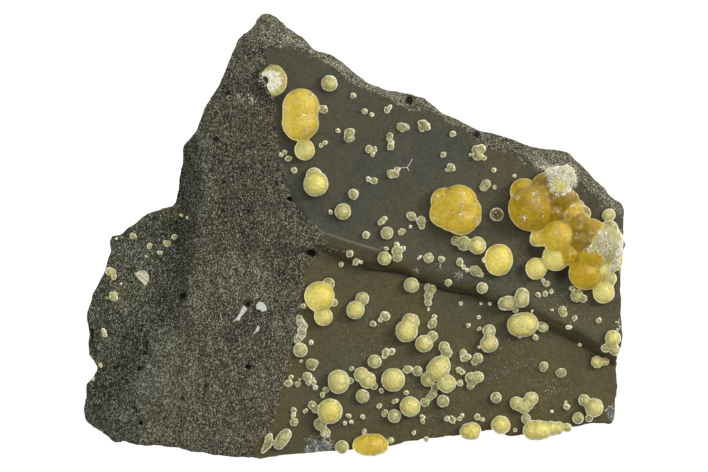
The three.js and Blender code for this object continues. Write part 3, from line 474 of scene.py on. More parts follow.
DRUSE = [
    Spot(36.4, 8.2, 0.9, 0.9), Spot(36.3, 7, 0.8, 0.8), Spot(32.6, 7.7, 0.7, 0.7),
    Spot(33.9, 3.7, 0.8, 0.9),
    Spot(37.7, 4, 0.5, 0.4), Spot(40.7, 5, 0.6, 0.8), Spot(39.9, 7.9, 0.5, 0.7),
    Spot(42.4, 4.5, 0.6, 0.8),
    Spot(43.8, 6.1, 0.8, 0.8), Spot(45.4, 3.4, 0.5, 0.4), Spot(40, -1.2, 0.4, 0.5),
    Spot(49, -0.8, 1.2, 1.2), Spot(34.2, 9.7, 0.4, 0.4), Spot(40.4, 0.8, 0.6, 0.7),
    Spot(42.5, -0.8, 0.5, 0.7),
    Spot(40.5, 2, 0.4, 0.4), Spot(44.5, 0, 0.7, 0.9), Spot(43.2, -3.8, 0.5, 0.6),
    Spot(47.2, 0.6, 0.5, 0.5),
    Spot(48.2, 1.8, 0.5, 0.5), Spot(46.5, -2.8, 0.9, 1), Spot(47.6, -2.4, 1.1, 1.2),
    Spot(49.6, -2.8, 1.3, 1.4),
    Spot(49.8, 0.2, 1.3, 1.4), Spot(51.2, -2, 1.2, 1.4), Spot(46.5, -6.5, 0.5, 0.6),
    Spot(48.2, -5.8, 0.4, 0.5),
    Spot(44.2, -5.8, 0.4, 0.4), Spot(-11.3, 27, 0.5, 0.6), Spot(-8.8, 27.8, 0.7, 0.9),
    Spot(-10.2, 24.2, 0.5, 0.6), Spot(-8.2, 24, 0.6, 0.8), Spot(-13.8, 25.6, 0.5, 0.6),
    Spot(-13.4, 22, 0.5, 0.6), Spot(-9.2, 21, 0.8, 1), Spot(-8, 25.6, 0.4, 0.6),
    Spot(21.6, 8.4, 0.6, 0.9),
    Spot(21.5, 6.4, 0.5, 0.9), Spot(21.6, 4.5, 0.6, 1), Spot(16.6, 8, 0.6, 0.8), Spot(18, 8, 0.5, 0.6),
    Spot(16.1, 3.5, 0.6, 0.7), Spot(24.2, 6.1, 0.5, 0.8), Spot(24.5, 3, 0.8, 0.9),
    Spot(18.6, 4.7, 0.3, 0.5),
    Spot(16.2, 6.1, 0.3, 0.4), Spot(23, 6.3, 0.5, 0.4), Spot(-14.2, 31.4, 0.7, 0.4),
    Spot(29.6, -4.4, 0.5, 0.4),
]


class Streak(NamedTuple):
    """A thin trail of crystals or dust lying on the rock, from one point to the next."""

    points: tuple[tuple[float, float], ...]
    width: float
    grains: int
    grain: float


STREAKS = [
    Streak(((-25.6, 28.2), (-23.6, 27.6), (-21.4, 27.4)), 0.5, 26, 0.13),
    Streak(((-21.2, 28), (-20.8, 27.4), (-20.1, 26.8)), 0.7, 24, 0.16),
    Streak(((-13.6, 40.6), (-11.4, 38.9), (-10, 37.6), (-7.8, 36.2)), 0.7, 34, 0.1),
    Streak(((35.8, 14.2), (37.4, 13.7), (38.8, 13.9)), 0.5, 60, 0.1),
    Streak(((-18.7, 32.6), (-17.9, 30.2), (-16.9, 28.6), (-16.1, 27.2)), 0.3, 70, 0.1),
    Streak(((-24.4, 7.6), (-21.2, 7)), 1.6, 7, 0.16), Streak(((-36.6, -2), (-30, -6)), 5, 12, 0.1),
    Streak(((-43.6, -4), (-46, -12)), 4, 26, 0.1), Streak(((12.2, -6.7), (12.9, -7.1)), 0.4, 8, 0.08),
    Streak(((17, -5.8), (17.6, -6.2)), 0.4, 7, 0.08), Streak(((20.4, -7.6), (22, -8)), 0.5, 9, 0.08),
    Streak(((-9.8, -41), (-8.4, -40.4), (-6.6, -40), (-5.4, -40.6)), 0.5, 46, 0.08),
    Streak(((-5.6, -40.8), (-4.8, -42.2), (-4.6, -43)), 0.4, 40, 0.1),
    Streak(((-5, -40.8), (-3.6, -42.2)), 0.5, 36, 0.09),
    Streak(((50.2, -35.2), (51, -34), (51.8, -33.6)), 0.3, 34, 0.09),
    Streak(((52.6, -17), (52.9, -18.8)), 0.5, 20, 0.15), Streak(((52.2, -4.6), (53.4, -7.8)),
    0.6, 24, 0.15),
]


# ---- Small helpers ------------------------------------------------------------------------------


def to_linear(code: str) -> tuple[float, float, float, float]:
    """Turn an sRGB hex colour to linear values.

    Args:
        code: Six hex digits after a hash.

    Returns:
        Red, green, blue and a full alpha.
    """
    parts = [int(code[i : i + 2], 16) / 255 for i in (1, 3, 5)]
    linear = [p / 12.92 if p <= 0.04045 else ((p + 0.055) / 1.055) ** 2.4 for p in parts]
    return (*linear, 1.0)


def smoothstep(value: np.ndarray, low: float, high: float) -> np.ndarray:
    """Rise smoothly from 0 at low to 1 at high."""
    t = np.clip((value - low) / (high - low), 0, 1)
    return t * t * (3 - 2 * t)


def along(table: Sequence[tuple[float, ...]], at: np.ndarray, column: int = 1) -> np.ndarray:
    """Read a traced line by straight stretches between its points.

    Args:
        table: Rows that start with the place along the line.
        at: Places to read at.
        column: Which value of a row to read.

    Returns:
        The value at each place.
    """
    rows = sorted(table)
    return np.interp(at, [row[0] for row in rows], [row[column] for row in rows])


def add_node(
    tree: NodeTree,
    kind: str,
    inputs: dict[str | int, object] | None = None,
    stops: Sequence[tuple[float, str]] = (),
    **settings: object,
) -> Node:
    """Add a node with its links, values and settings.

    Args:
        tree: The tree that gets the node.
        kind: The node's type name.
        inputs: For each input, its value, or the socket or node that feeds it.
        stops: Places and hex colours, where the node holds a colour ramp.
        settings: The node's own properties.

    Returns:
        The new node.
    """
    node = tree.nodes.new(kind)
    for name, value in settings.items():
        setattr(node, name, value)
    for key, value in (inputs or {}).items():
        if isinstance(value, Node):
            value = next(socket for socket in value.outputs if socket.enabled)
        if isinstance(value, NodeSocket):
            tree.links.new(value, node.inputs[key])
        else:
            node.inputs[key].default_value = value
    if stops:
        elements = node.color_ramp.elements
        while len(elements) < len(stops):
            elements.new(1.0)
        for element, (place, code) in zip(elements, stops):
            element.position = place
            element.color = to_linear(code)
    return node


def read_points(mesh: Mesh) -> np.ndarray:
    """Give a mesh's vertices as rows of x, y, z."""
    points = np.empty(len(mesh.vertices) * 3, np.float32)
    mesh.vertices.foreach_get("co", points)
    return points.reshape(-1, 3).astype(float)


def read_normals(mesh: Mesh) -> np.ndarray:
    """Give a mesh's vertex normals as rows of x, y, z."""
    normals = np.empty(len(mesh.vertices) * 3, np.float32)
    mesh.vertex_normals.foreach_get("vector", normals)
    return normals.reshape(-1, 3).astype(float)


def write_points(mesh: Mesh, points: np.ndarray) -> None:
    """Move a mesh's vertices to rows of x, y, z."""
    mesh.vertices.foreach_set("co", points.astype(np.float32).ravel())
    mesh.update()


def write_values(mesh: Mesh, **named: np.ndarray | float) -> None:
    """Store numbers on each vertex under names that a material or a tree reads.

    Args:
        mesh: The mesh that gets them.
        named: For each name, a number for each vertex, or one number for all.
    """
    for name, values in named.items():
        attribute = mesh.attributes.get(name) or mesh.attributes.new(name, "FLOAT", "POINT")
        each = np.array(np.broadcast_to(values, len(mesh.vertices)), np.float32)
        attribute.data.foreach_set("value", each)


def new_object(name: str, data: ID) -> Object:
    """Link a mesh, curve, light or camera to the scene as an object of its own."""
    made = bpy.data.objects.new(name, data)
    bpy.context.scene.collection.objects.link(made)
    return made


@contextmanager
def editing(mesh: Mesh) -> Iterator[bmesh.types.BMesh]:
    """Open a mesh for edits, and write them back at the end."""
    form = bmesh.new()
    form.from_mesh(mesh)
    yield form
    form.to_mesh(mesh)
    form.free()


def settle(piece: Object) -> None:
    """Turn a piece's modifiers into its plain mesh."""
    graph = bpy.context.evaluated_depsgraph_get()
    mesh = bpy.data.meshes.new_from_object(
        piece.evaluated_get(graph), preserve_all_data_layers=True, depsgraph=graph
    )
    piece.modifiers.clear()
    before = piece.data
    piece.data = mesh
    bpy.data.meshes.remove(before)


def remesh(piece: Object, pitch: float, rounding: int = 0) -> None:
    """Rebuild a closed or overlapping mesh as one even skin.

    Args:
        piece: The object to rebuild.
        pitch: Spacing of the new vertices in millimetres.
        rounding: How many times the new skin's small steps are rounded off.
    """
    skin = piece.modifiers.new("skin", "REMESH")
    skin.mode = "VOXEL"
    skin.voxel_size = pitch
    settle(piece)
    if rounding:
        softer = piece.modifiers.new("softer", "SMOOTH")
        softer.factor = 0.5
        softer.iterations = rounding
        settle(piece)


def finish_piece(piece: Object, slot: Slot, *nodes: str, smooth: bool = True) -> None:
    """Turn a piece to metres and hand it to the frame.

    Args:
        piece: The finished object, still in millimetres.
        slot: The record's material slot; not used.
        nodes: The CAD nodes that it stands for.
        smooth: Whether its faces are shaded as one smooth skin.
    """
    piece.data.name = piece.name
    piece.data.transform(Matrix.Scale(MM, 4))
    if smooth:
        piece.data.shade_smooth()
    else:
        piece.data.shade_flat()
    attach(piece, "root")
    if nodes:
        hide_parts(*nodes)
    triangles = sum(len(face.vertices) - 2 for face in piece.data.polygons)
    log.info("%s: %d triangles", piece.name, triangles)


# ---- Finishes -----------------------------------------------------------------------------------


def millimetres(tree: NodeTree) -> Node:
    """Give the object's own coordinates in millimetres, for patterns of a real size."""
    place = add_node(tree, "ShaderNodeTexCoord").outputs["Object"]
    return add_node(tree, "ShaderNodeVectorMath", {0: place, "Scale": 1 / MM}, operation="SCALE")


def stored_values(tree: NodeTree, *names: str) -> dict[str, NodeSocket]:
    """Give the values stored on a piece's vertices under these names."""
    return {
        name: add_node(tree, "ShaderNodeAttribute", attribute_name=name).outputs["Fac"] for name in names
    }


def new_material(name: str) -> tuple[Material, NodeTree]:
    """Make a material with an empty node tree."""
    material = bpy.data.materials.new(name)
    material.use_nodes = True
    material.node_tree.nodes.clear()
    return material, material.node_tree


@dataclass(frozen=True)
class BasaltFinish:
    """Fine-grained basalt. Where it broke it is matte, a salt and pepper of dark and feldspar grains;
    where a gas cavity lined it, it is one even olive-grey skin, nearly matte, with specks of dust.
    Painted shade darkens its tiny pores, pits and cracks, the crease at the fold's foot and the rock
    close to the growths, and a painted highlight runs along the fold's crest."""

    fleck_size: float = 0.17
    grain_size: float = 0.6
    mottle_size: float = 4.5
    patch_size: float = 13.0
    pore_spacing: float = 1.7
    flow_turn: float = -0.35  # the flecks are drawn out along the flow of the lava
    fleck_share: float = 0.9
    grain_share: float = 0.12
    mottle_share: float = 0.22
    ground: float = 0.02
    raggedness: float = 0.5
    broken: tuple[str, ...] = ("#15140c", "#363425", "#565342", "#777460", "#979480", "#bab7a4")
    above_fold: tuple[str, ...] = ("#424338", "#464537", "#4b4736")
    below_fold: tuple[str, ...] = ("#4a4833", "#4f4931", "#534b2f")
    patch_range: tuple[float, ...] = (0.34, 0.5, 0.66)
    cooling: tuple[float, ...] = (0.85, 0.92, 0.95, 1.0)

    def build(self) -> Material:
        """Make the material, which reads the zone values stored on the rock."""
        material, tree = new_material("basalt_broken_and_lined")
        add = partial(add_node, tree)
        place = millimetres(tree)
        zone = stored_values(
            tree, "above_lining", "below_fold", "cool", "dust", "stain", "shade", "tone", "chip",
            "crest_gap", "crest_light", "crease_gap", "crease_dark",
        )
        flow = add(
            "ShaderNodeMapping",
            {"Vector": place, "Rotation": (0, 0, self.flow_turn), "Scale": (1.2, 0.8, 1)},
        )
        fleck = add("ShaderNodeTexVoronoi", {"Vector": flow, "Scale": 1 / self.fleck_size})
        grain = add("ShaderNodeTexVoronoi", {"Vector": place, "Scale": 1 / self.grain_size})
        pore = add("ShaderNodeTexVoronoi", {"Vector": place, "Scale": 1 / self.pore_spacing})
        chance, coarse, pore_chance = (
            add("ShaderNodeSeparateColor", {0: cells.outputs["Color"]}).outputs
            for cells in (fleck, grain, pore)
        )
        mottle = add(
            "ShaderNodeTexNoise",
            {"Vector": place, "Scale": 1 / self.mottle_size, "Detail": 2.0, "Roughness": 0.6},
        )
        patch = add("ShaderNodeTexNoise", {"Vector": place, "Scale": 1 / self.patch_size, "Detail": 2.0})
        tooth = add("ShaderNodeTexNoise", {"Vector": place, "Scale": 1.1, "Detail": 3.0})
        ragged_edge = add(
            "ShaderNodeMath", {0: tooth, 1: self.raggedness, 2: -0.5 * self.raggedness},
            operation="MULTIPLY_ADD",
        )
        rough_gap = add("ShaderNodeMath", {0: zone["above_lining"], 1: ragged_edge})
        lined = add("ShaderNodeMapRange", {"Value": rough_gap, "From Min": 0.0, "From Max": 0.1})

        # How bright each grain is: in full on the breaks, and as a slight shimmer on the lining.
        bright = add("ShaderNodeMath", {0: chance[0], 1: 3.0}, operation="POWER")
        level = add(
            "ShaderNodeMath", {0: bright, 1: self.fleck_share, 2: self.ground}, operation="MULTIPLY_ADD"
        )
        shimmer = add("ShaderNodeMath", {0: chance[0], 1: 0.55, 2: 0.475}, operation="MULTIPLY_ADD")
        for source, break_share, skin_share in (
            (coarse[1], self.grain_share, 0.2), (mottle, self.mottle_share, 0.3), (zone["tone"], 1.0, 1.0)
        ):
            level = add(
                "ShaderNodeMath", {0: source, 1: break_share, 2: level}, operation="MULTIPLY_ADD"
            )
            shimmer = add(
                "ShaderNodeMath", {0: source, 1: skin_share, 2: shimmer}, operation="MULTIPLY_ADD"
            )
        steps = [(number / 5, code) for number, code in enumerate(self.broken)]
        broken = add("ShaderNodeValToRGB", {0: level}, stops=steps)
        above, below = (
            add("ShaderNodeValToRGB", {0: patch}, stops=list(zip(self.patch_range, codes)))
            for codes in (self.above_fold, self.below_fold)
        )
        skin = add("ShaderNodeMix", {"Factor": zone["below_fold"], 6: above, 7: below}, data_type="RGBA")
        grained = add("ShaderNodeVectorMath", {0: skin, "Scale": shimmer}, operation="SCALE")
        crystal = add(
            "ShaderNodeValToRGB", {0: chance[1]},
            stops=[(0.0, "#313230"), (0.5, "#565856"), (0.86, "#868985"), (1.0, "#d8d9d2")],
        )

        # Where each layer lies, from the lowest up.
        # Painted shade of tiny pores, which have no depth of their own.
        pore_reach = add("ShaderNodeMath", {0: pore_chance[0], 1: 0.26, 2: -0.12}, operation="MULTIPLY_ADD")
        pore_gap = add(
            "ShaderNodeMath", {0: pore.outputs["Distance"], 1: pore_reach}, operation="SUBTRACT"
        )
        pored = add(
            "ShaderNodeMapRange",
            {"Value": pore_gap, "From Min": 0.0, "From Max": 0.06, "To Min": 0.8, "To Max": 0.0},
        )
        chip_gap = add("ShaderNodeMath", {0: zone["chip"], 1: ragged_edge})
        chipped = add("ShaderNodeMapRange", {"Value": chip_gap, "From Min": 0.45, "From Max": 0.6})
        stained = add("ShaderNodeMath", {0: zone["stain"], 1: coarse[0]}, operation="MULTIPLY")
        dust = add("ShaderNodeMath", {0: chance[2], 1: zone["dust"]})
        dusted = add(
            "ShaderNodeMapRange", {"Value": dust, "From Min": 0.99, "From Max": 1.05, "To Max": 0.7}
        )
        # Painted highlight along the fold's crest line.
        on_crest = add(
            "ShaderNodeMapRange",
            {"Value": zone["crest_gap"], "From Min": 0.02, "From Max": 0.36, "To Min": 0.55, "To Max": 0.0},
        )
        painted_crest_highlight = add("ShaderNodeMath", {0: on_crest, 1: zone["crest_light"]}, operation="MULTIPLY")
        # Painted shade: the crease at the fold's foot, joined with the shade stored on the rock for its
        # pits, cracks and the places beside the growths.
        in_crease = add(
            "ShaderNodeMapRange",
            {"Value": zone["crease_gap"], "From Min": 0.05, "From Max": 0.3, "To Min": 1.0, "To Max": 0.0},
        )
        crease = add("ShaderNodeMath", {0: in_crease, 1: zone["crease_dark"]}, operation="MULTIPLY")
        dark = add("ShaderNodeMath", {0: crease, 1: zone["shade"]}, operation="MAXIMUM")
        colour = add(
            "ShaderNodeMix", {"Factor": zone["cool"], 6: broken, 7: self.cooling},
            data_type="RGBA", blend_type="MULTIPLY",
        )
        for where, layer in (
            (pored, to_linear("#1d1b15")),
            (lined, grained),
            (chipped, crystal),
            (stained, to_linear("#8c8646")),
            (dusted, to_linear("#bdb9a8")),
            (painted_crest_highlight, to_linear("#8b8876")),
            (dark, to_linear("#12110d")),
        ):
            colour = add("ShaderNodeMix", {"Factor": where, 6: colour, 7: layer}, data_type="RGBA")

        rough = add("ShaderNodeMapRange", {"Value": lined, "To Min": 0.85, "To Max": 0.62})
        depth = add("ShaderNodeMapRange", {"Value": lined, "To Min": 1.0, "To Max": 0.14})
        height = add("ShaderNodeMath", {0: level, 1: depth}, operation="MULTIPLY")
        bump = add("ShaderNodeBump", {"Strength": 0.7, "Distance": 0.3 * MM, "Height": height})
        looks = {"Base Color": colour, "Roughness": rough, "Normal": bump, "Specular IOR Level": 0.2}
        shader = add("ShaderNodeBsdfPrincipled", looks)
        add("ShaderNodeOutputMaterial", {0: shader})
        return material


@dataclass(frozen=True)
class CalciteFinish:
    """Rounded calcite, grown as tiny radiating crystals: waxy and translucent, honey-coloured where it
    is thick, with a bright outline where its skin turns steep, partly its frosted crystal ends and partly
    painted rim light, and a painted glow for the light it scatters and passes through."""

    name: str
    heart: tuple[tuple[float, str], ...]  # colour by ripeness
    shallow: str  # colour where the calcite is thin enough to see the rock through it
    # The outline's colour: partly frosted crystal ends, partly painted rim light.
    outline: str
    outline_strength: float = 0.85
    shallow_strength: float = 0.5
    ripe_outline: float = 0.5  # share of the outline's strength left where the calcite is amber
    rim_light: float = 0.06  # painted glow along the outline, for light that the frosted crystal ends scatter
    passed_light: float = 0.14  # painted glow on the side away from the key light, for light that crosses a ball
    crust: str = "#e4e1d0"
    # Colour of the brighter crystal ends: partly their own whiteness, partly painted sparkle.
    sugar: str = "#ece9c8"
    spread: tuple[float, float, float] = (1.0, 0.84, 0.5)
    reach: float = 1.2
    glow: float = 0.45
    roughness: float = 0.3
    gleam: float = 0.22
    cloudiness: float = 0.45
    facet_size: float = 0.3  # crystal ends, which catch the light one by one
    facet_tilt: float = 1.1
    sparkle: float = 0.1  # share of the ends that flash away from the druse
    frost: float = 0.5  # how white the scattered brighter ends are: partly their own whiteness, partly painted sparkle
    ior: float = 1.6

    def build(self) -> Material:
        """Make the material, which reads ripeness, edge distance and crust stored on the piece."""
        material, tree = new_material(self.name)
        add = partial(add_node, tree)
        place = millimetres(tree)
        stored = stored_values(tree, "ripeness", "edge", "crust", "through", "druse")
        facet = add("ShaderNodeTexVoronoi", {"Vector": place, "Scale": 1 / self.facet_size})
        chance = add("ShaderNodeSeparateColor", {0: facet.outputs["Color"]}).outputs
        cloud = add("ShaderNodeTexNoise", {"Vector": place, "Scale": 0.9, "Detail": 3.0})
        clouded = add(
            "ShaderNodeMath", {0: cloud, 1: self.cloudiness, 2: -0.5 * self.cloudiness},
            operation="MULTIPLY_ADD",
        )
        ripe = add("ShaderNodeMath", {0: clouded, 1: stored["ripeness"]})
        heart = add("ShaderNodeValToRGB", {0: ripe}, stops=self.heart)

        # Where the thin edge, the outline (partly frosted ends, partly painted rim light) and the brighter
        # crystal ends (partly painted sparkle) lie.
        thin, frosted, fainter, sugary = (
            add(
                "ShaderNodeMapRange",
                {"Value": value, "From Min": low, "From Max": high, "To Min": first, "To Max": last},
            )
            for value, low, high, first, last in (
                (stored["edge"], 0.35, 1.2, self.shallow_strength, 0.0),
                (stored["edge"], 0.1, 0.3, self.outline_strength, 0.0),
                (stored["ripeness"], 0.5, 0.85, 1.0, self.ripe_outline),
                (chance[2], 0.86, 1.0, 0.0, self.frost),
            )
        )
        dots = add("ShaderNodeMath", {0: chance[1], 1: 1.0, 2: 0.35}, operation="MULTIPLY_ADD")
        dotted = add("ShaderNodeMath", {0: frosted, 1: dots}, operation="MULTIPLY", use_clamp=True)
        rim = add("ShaderNodeMath", {0: dotted, 1: fainter}, operation="MULTIPLY")
        colour = heart
        for where, code in ((thin, self.shallow), (rim, self.outline), (sugary, self.sugar)):
            colour = add(
                "ShaderNodeMix", {"Factor": where, 6: colour, 7: to_linear(code)}, data_type="RGBA"
            )
        grit = add("ShaderNodeMath", {0: chance[1], 1: 0.28, 2: 0.86}, operation="MULTIPLY_ADD")
        gritty = add("ShaderNodeVectorMath", {0: colour, "Scale": grit}, operation="SCALE")
        patchy = add("ShaderNodeMath", {0: chance[0], 1: 0.5, 2: stored["crust"]}, operation="MULTIPLY_ADD")
        crusting = add("ShaderNodeMapRange", {"Value": patchy, "From Min": 0.5, "From Max": 1.1})
        crusted = add(
            "ShaderNodeMix", {"Factor": crusting, 6: gritty, 7: to_linear(self.crust)}, data_type="RGBA"
        )

        # Painted glow for light passed through a ball and scattered by its outline, and crystal ends that
        # tilt and flash one by one.
        passed = add(
            "ShaderNodeMath", {0: stored["through"], 1: self.passed_light}, operation="MULTIPLY"
        )
        painted_glow = add("ShaderNodeMath", {0: rim, 1: self.rim_light, 2: passed}, operation="MULTIPLY_ADD")
        bump = add(
            "ShaderNodeBump", {"Strength": 0.6, "Distance": 0.11 * MM, "Height": facet.outputs["Distance"]}
        )
        centred = add(
            "ShaderNodeVectorMath", {0: facet.outputs["Color"], 1: (0.5, 0.5, 0.5)}, operation="SUBTRACT"
        )
        tilt = add("ShaderNodeVectorMath", {0: centred, "Scale": self.facet_tilt}, operation="SCALE")
        skin = add("ShaderNodeNewGeometry").outputs["Normal"]
        facing = add("ShaderNodeVectorMath", {0: skin, 1: tilt}, operation="ADD")
        facing = add("ShaderNodeVectorMath", {0: facing}, operation="NORMALIZE")
        flash = add("ShaderNodeMapRange", {"Value": stored["druse"], "To Min": self.sparkle, "To Max": 1.0})
        shader = add(
            "ShaderNodeBsdfPrincipled",
            {
                "Base Color": crusted,
                "Roughness": self.roughness,
                "IOR": self.ior,
                "Specular IOR Level": self.gleam,
                "Normal": bump,
                "Emission Color": crusted,
                "Emission Strength": painted_glow,
                "Subsurface Weight": self.glow,
                "Subsurface Radius": self.spread,
                "Subsurface Scale": self.reach * MM,
                "Coat Weight": flash,
                "Coat Roughness": 0.1,
                "Coat IOR": self.ior,
                "Coat Normal": facing,
            },
        )
        add("ShaderNodeOutputMaterial", {0: shader})
        return material


RIPENING = (
    (0.0, "#38331a"), (0.05, "#6c6439"), (0.11, "#8f8b66"), (0.2, "#aaa674"), (0.32, "#c6c07a"),
    (0.5, "#d3c768"), (0.66, "#cbb64a"), (0.8, "#bca432"), (0.9, "#aa8e0c"), (1.0, "#775e06"),
)
HONEY = CalciteFinish(
    "calcite_honey", heart=RIPENING, shallow="#96832e", outline="#e9e1b4", outline_strength=1.0,
    shallow_strength=0.35, frost=0.0, glow=1.0, reach=2.2, rim_light=0.1, passed_light=0.5,
    cloudiness=0.18, gleam=0.24,
)
PALE = CalciteFinish(
    "calcite_pale", heart=RIPENING, shallow="#8a8556", outline="#ece9cc", outline_strength=1.0,
    shallow_strength=0.5, glow=0.25, reach=0.7, rim_light=0.1, passed_light=0.14,
)


@dataclass(frozen=True)
class CrystalFinish:
    """Loose ends of clear calcite crystals: nearly white, glassy, flashing where a face meets the
    light."""

    name: str
    deep: str
    bright: str
    facet_size: float = 1 / 3

    def build(self) -> Material:
        """Make the material."""
        material, tree = new_material(self.name)
        facet = add_node(
            tree, "ShaderNodeTexVoronoi", {"Vector": millimetres(tree), "Scale": 1 / self.facet_size}
        )
        chance = add_node(tree, "ShaderNodeSeparateColor", {0: facet.outputs["Color"]})
        tone = add_node(
            tree, "ShaderNodeMix", {"Factor": chance, 6: to_linear(self.deep), 7: to_linear(self.bright)},
            data_type="RGBA",
        )
        shader = add_node(
            tree, "ShaderNodeBsdfPrincipled", {"Base Color": tone, "Roughness": 0.12, "IOR": 1.6}
        )
        add_node(tree, "ShaderNodeOutputMaterial", {0: shader})
        return material


@dataclass(frozen=True)
class WhiteFillingFinish:
    """White massive calcite that filled a crack: bright, even and faintly waxy."""

    colour: str = "#e6e6e0"
    shadow: str = "#bdbdb4"

    def build(self) -> Material:
        """Make the material."""
        material, tree = new_material("calcite_white_filling")
        cloud = add_node(
            tree, "ShaderNodeTexNoise", {"Vector": millimetres(tree), "Scale": 1.7, "Detail": 3.0}
        )
        stops = [(0.3, self.shadow), (0.56, self.colour)]
        tone = add_node(tree, "ShaderNodeValToRGB", {0: cloud}, stops=stops)
        bump = add_node(tree, "ShaderNodeBump", {"Strength": 0.4, "Distance": 0.08 * MM, "Height": cloud})
        shader = add_node(
            tree, "ShaderNodeBsdfPrincipled", {"Base Color": tone, "Roughness": 0.45, "Normal": bump}
        )
        add_node(tree, "ShaderNodeOutputMaterial", {0: shader})
        return material


# ---- The rock -----------------------------------------------------------------------------------


@dataclass
class FragmentFaces:
    """The fragment's upper faces as heights over the plan, in millimetres."""

    lining_height: float = 34.0
    fold_drop: float = 2.4
    fold_sharpness: float = 0.7  # share of the drop that falls late, close to the crease
    sharpness_lost: float = 0.45  # how much of that share is lost along the softening stretch
    softening: tuple[float, float] = (24.0, 34.0)
    groove: float = 0.25  # extra depth of the narrow crease at the fold's foot
    groove_width: float = 0.35
    shoulder: float = 0.35  # how far the lining rises along the crest
    shoulder_width: float = 2.2
    swell: float = 0.5
    rim_roll: float = 1.2
    bevel_slope: float = 1.2
    nose_reach: float = 5.0
    step_slope: float = 1.8

    def below_fold(self, x: np.ndarray, y: np.ndarray) -> np.ndarray:
        """Share of the fold's drop already fallen: 0 above the crest, 1 past the crease."""
        crest, crease = along(CREST, x), along(CREASE, x)
        share = np.clip((crest - y) / (crest - crease), 0, 1)
        sharp = self.fold_sharpness - self.sharpness_lost * smoothstep(x, *self.softening)
        return (1 - sharp) * smoothstep(share, 0, 1) + sharp * smoothstep(share, 0.6, 1)

    def lining(self, x: np.ndarray, y: np.ndarray) -> np.ndarray:
        """Height of the cavity lining, with the fold that runs across it."""
        roll = smoothstep(-y, 26, 46)
        swell = self.swell * np.sin(x / 11 + 0.6) * np.cos(y / 14 - 0.4)
        shoulder = self.shoulder * np.exp(-(((y - along(CREST, x)) / self.shoulder_width) ** 2))
        across = (y - along(CREASE, x)) / self.groove_width
        groove = self.groove * along(CREASE_DARKNESS, x) * np.exp(-(across**2))
        fallen = self.fold_drop * self.below_fold(x, y)
        return self.lining_height - fallen - self.rim_roll * roll**2 + swell + shoulder - groove

    def bevel(self, x: np.ndarray, y: np.ndarray) -> np.ndarray:
        """Height of the broken strip beyond the lining's upper edge."""
        edge = along(UPPER_EDGE, x)
        return self.lining(x, edge) - self.bevel_slope * (y - edge)

    def broken(self, x: np.ndarray, y: np.ndarray) -> np.ndarray:
        """Height of the big broken face."""
        ridge, trend = along(RIDGE, y), along(RIDGE_TREND, y)
        top = np.minimum(self.lining(ridge, y), self.bevel(ridge, y))
        slope = (top - along(STEP_TOP, y, 2)) / (trend - along(STEP_TOP, y))
        nose = (ridge - trend) * np.exp(-np.maximum(0, ridge - x) / self.nose_reach)
        return top - slope * (trend + nose - x)

    def step(self, x: np.ndarray, y: np.ndarray) -> np.ndarray:
        """Height of the steep step down to the lobe."""
        return along(STEP_TOP, y, 2) - self.step_slope * (along(STEP_TOP, y) - x)

    def lobe(self, x: np.ndarray, y: np.ndarray) -> np.ndarray:
        """Height of the low lobe's upper side."""
        swell = 0.35 * np.sin(x / 3.1) * np.cos(y / 4.3)
        return along(STEP_FOOT, y, 2) - along(LOBE_FALL, y) * (along(STEP_FOOT, y) - x) + swell

    def left(self, x: np.ndarray, y: np.ndarray) -> np.ndarray:
        """Height of everything left of the ridge."""
        return np.maximum(np.minimum(self.broken(x, y), self.step(x, y)), self.lobe(x, y))

    def surface(self, x: np.ndarray, y: np.ndarray) -> np.ndarray:
        """Height of the fragment's upper side."""
        return np.minimum(np.minimum(self.lining(x, y), self.bevel(x, y)), self.left(x, y))


def ragged(a: np.ndarray, b: np.ndarray) -> np.ndarray:
    """A small repeatable waver that keeps traced edges from running straight."""
    return (
        0.2 * np.sin(2.3 * a + 1.1 * b)
        + 0.12 * np.sin(5.1 * b - 1.7 * a + 1)
        + 0.08 * np.sin(9.7 * a + 7.3 * b + 2)
    )


def line_gap(points: Sequence[tuple[float, float]], x: np.ndarray, y: np.ndarray) -> np.ndarray:
    """Distance in plan from the line that runs through some points."""
    nearest = np.full(len(x), 1e9)
    for (ax, ay), (bx, by) in zip(points, points[1:]):
        run, rise = bx - ax, by - ay
        share = np.clip(((x - ax) * run + (y - ay) * rise) / (run**2 + rise**2), 0, 1)
        nearest = np.minimum(nearest, np.hypot(x - ax - share * run, y - ay - share * rise))
    return nearest


def depth_inside(x: np.ndarray, y: np.ndarray) -> np.ndarray:
    """Distance in from the plan outline, negative outside it."""
    closed = [*OUTLINE, OUTLINE[0]]
    inside = np.zeros(len(x), bool)
    for (ax, ay), (bx, by) in zip(closed, closed[1:]):
        if by != ay:
            crosses = (ay > y) != (by > y)
            inside ^= crosses & (x < ax + (y - ay) / (by - ay) * (bx - ax))
    nearest = line_gap(closed, x, y)
    return np.where(inside, nearest, -nearest)


def patches(spots: list[Spot], x: np.ndarray, y: np.ndarray) -> np.ndarray:
    """Give the densest patch's strength at each place, fading out at its reach."""
    strength = np.zeros(len(x))
    for spot in spots:
        away = np.hypot(x - spot.x, y - spot.y) / spot.reach
        strength = np.maximum(strength, spot.density * smoothstep(1.25 - away, 0, 0.8))
    return strength


def signed_patches(spots: list[Spot], x: np.ndarray, y: np.ndarray) -> np.ndarray:
    """Add up lighter and darker patches, each fading out softly past its reach."""
    total = np.zeros(len(x))
    for spot in spots:
        away = np.hypot(x - spot.x, y - spot.y) / spot.reach
        total += spot.density * smoothstep(1.5 - away, 0, 1)
    return total


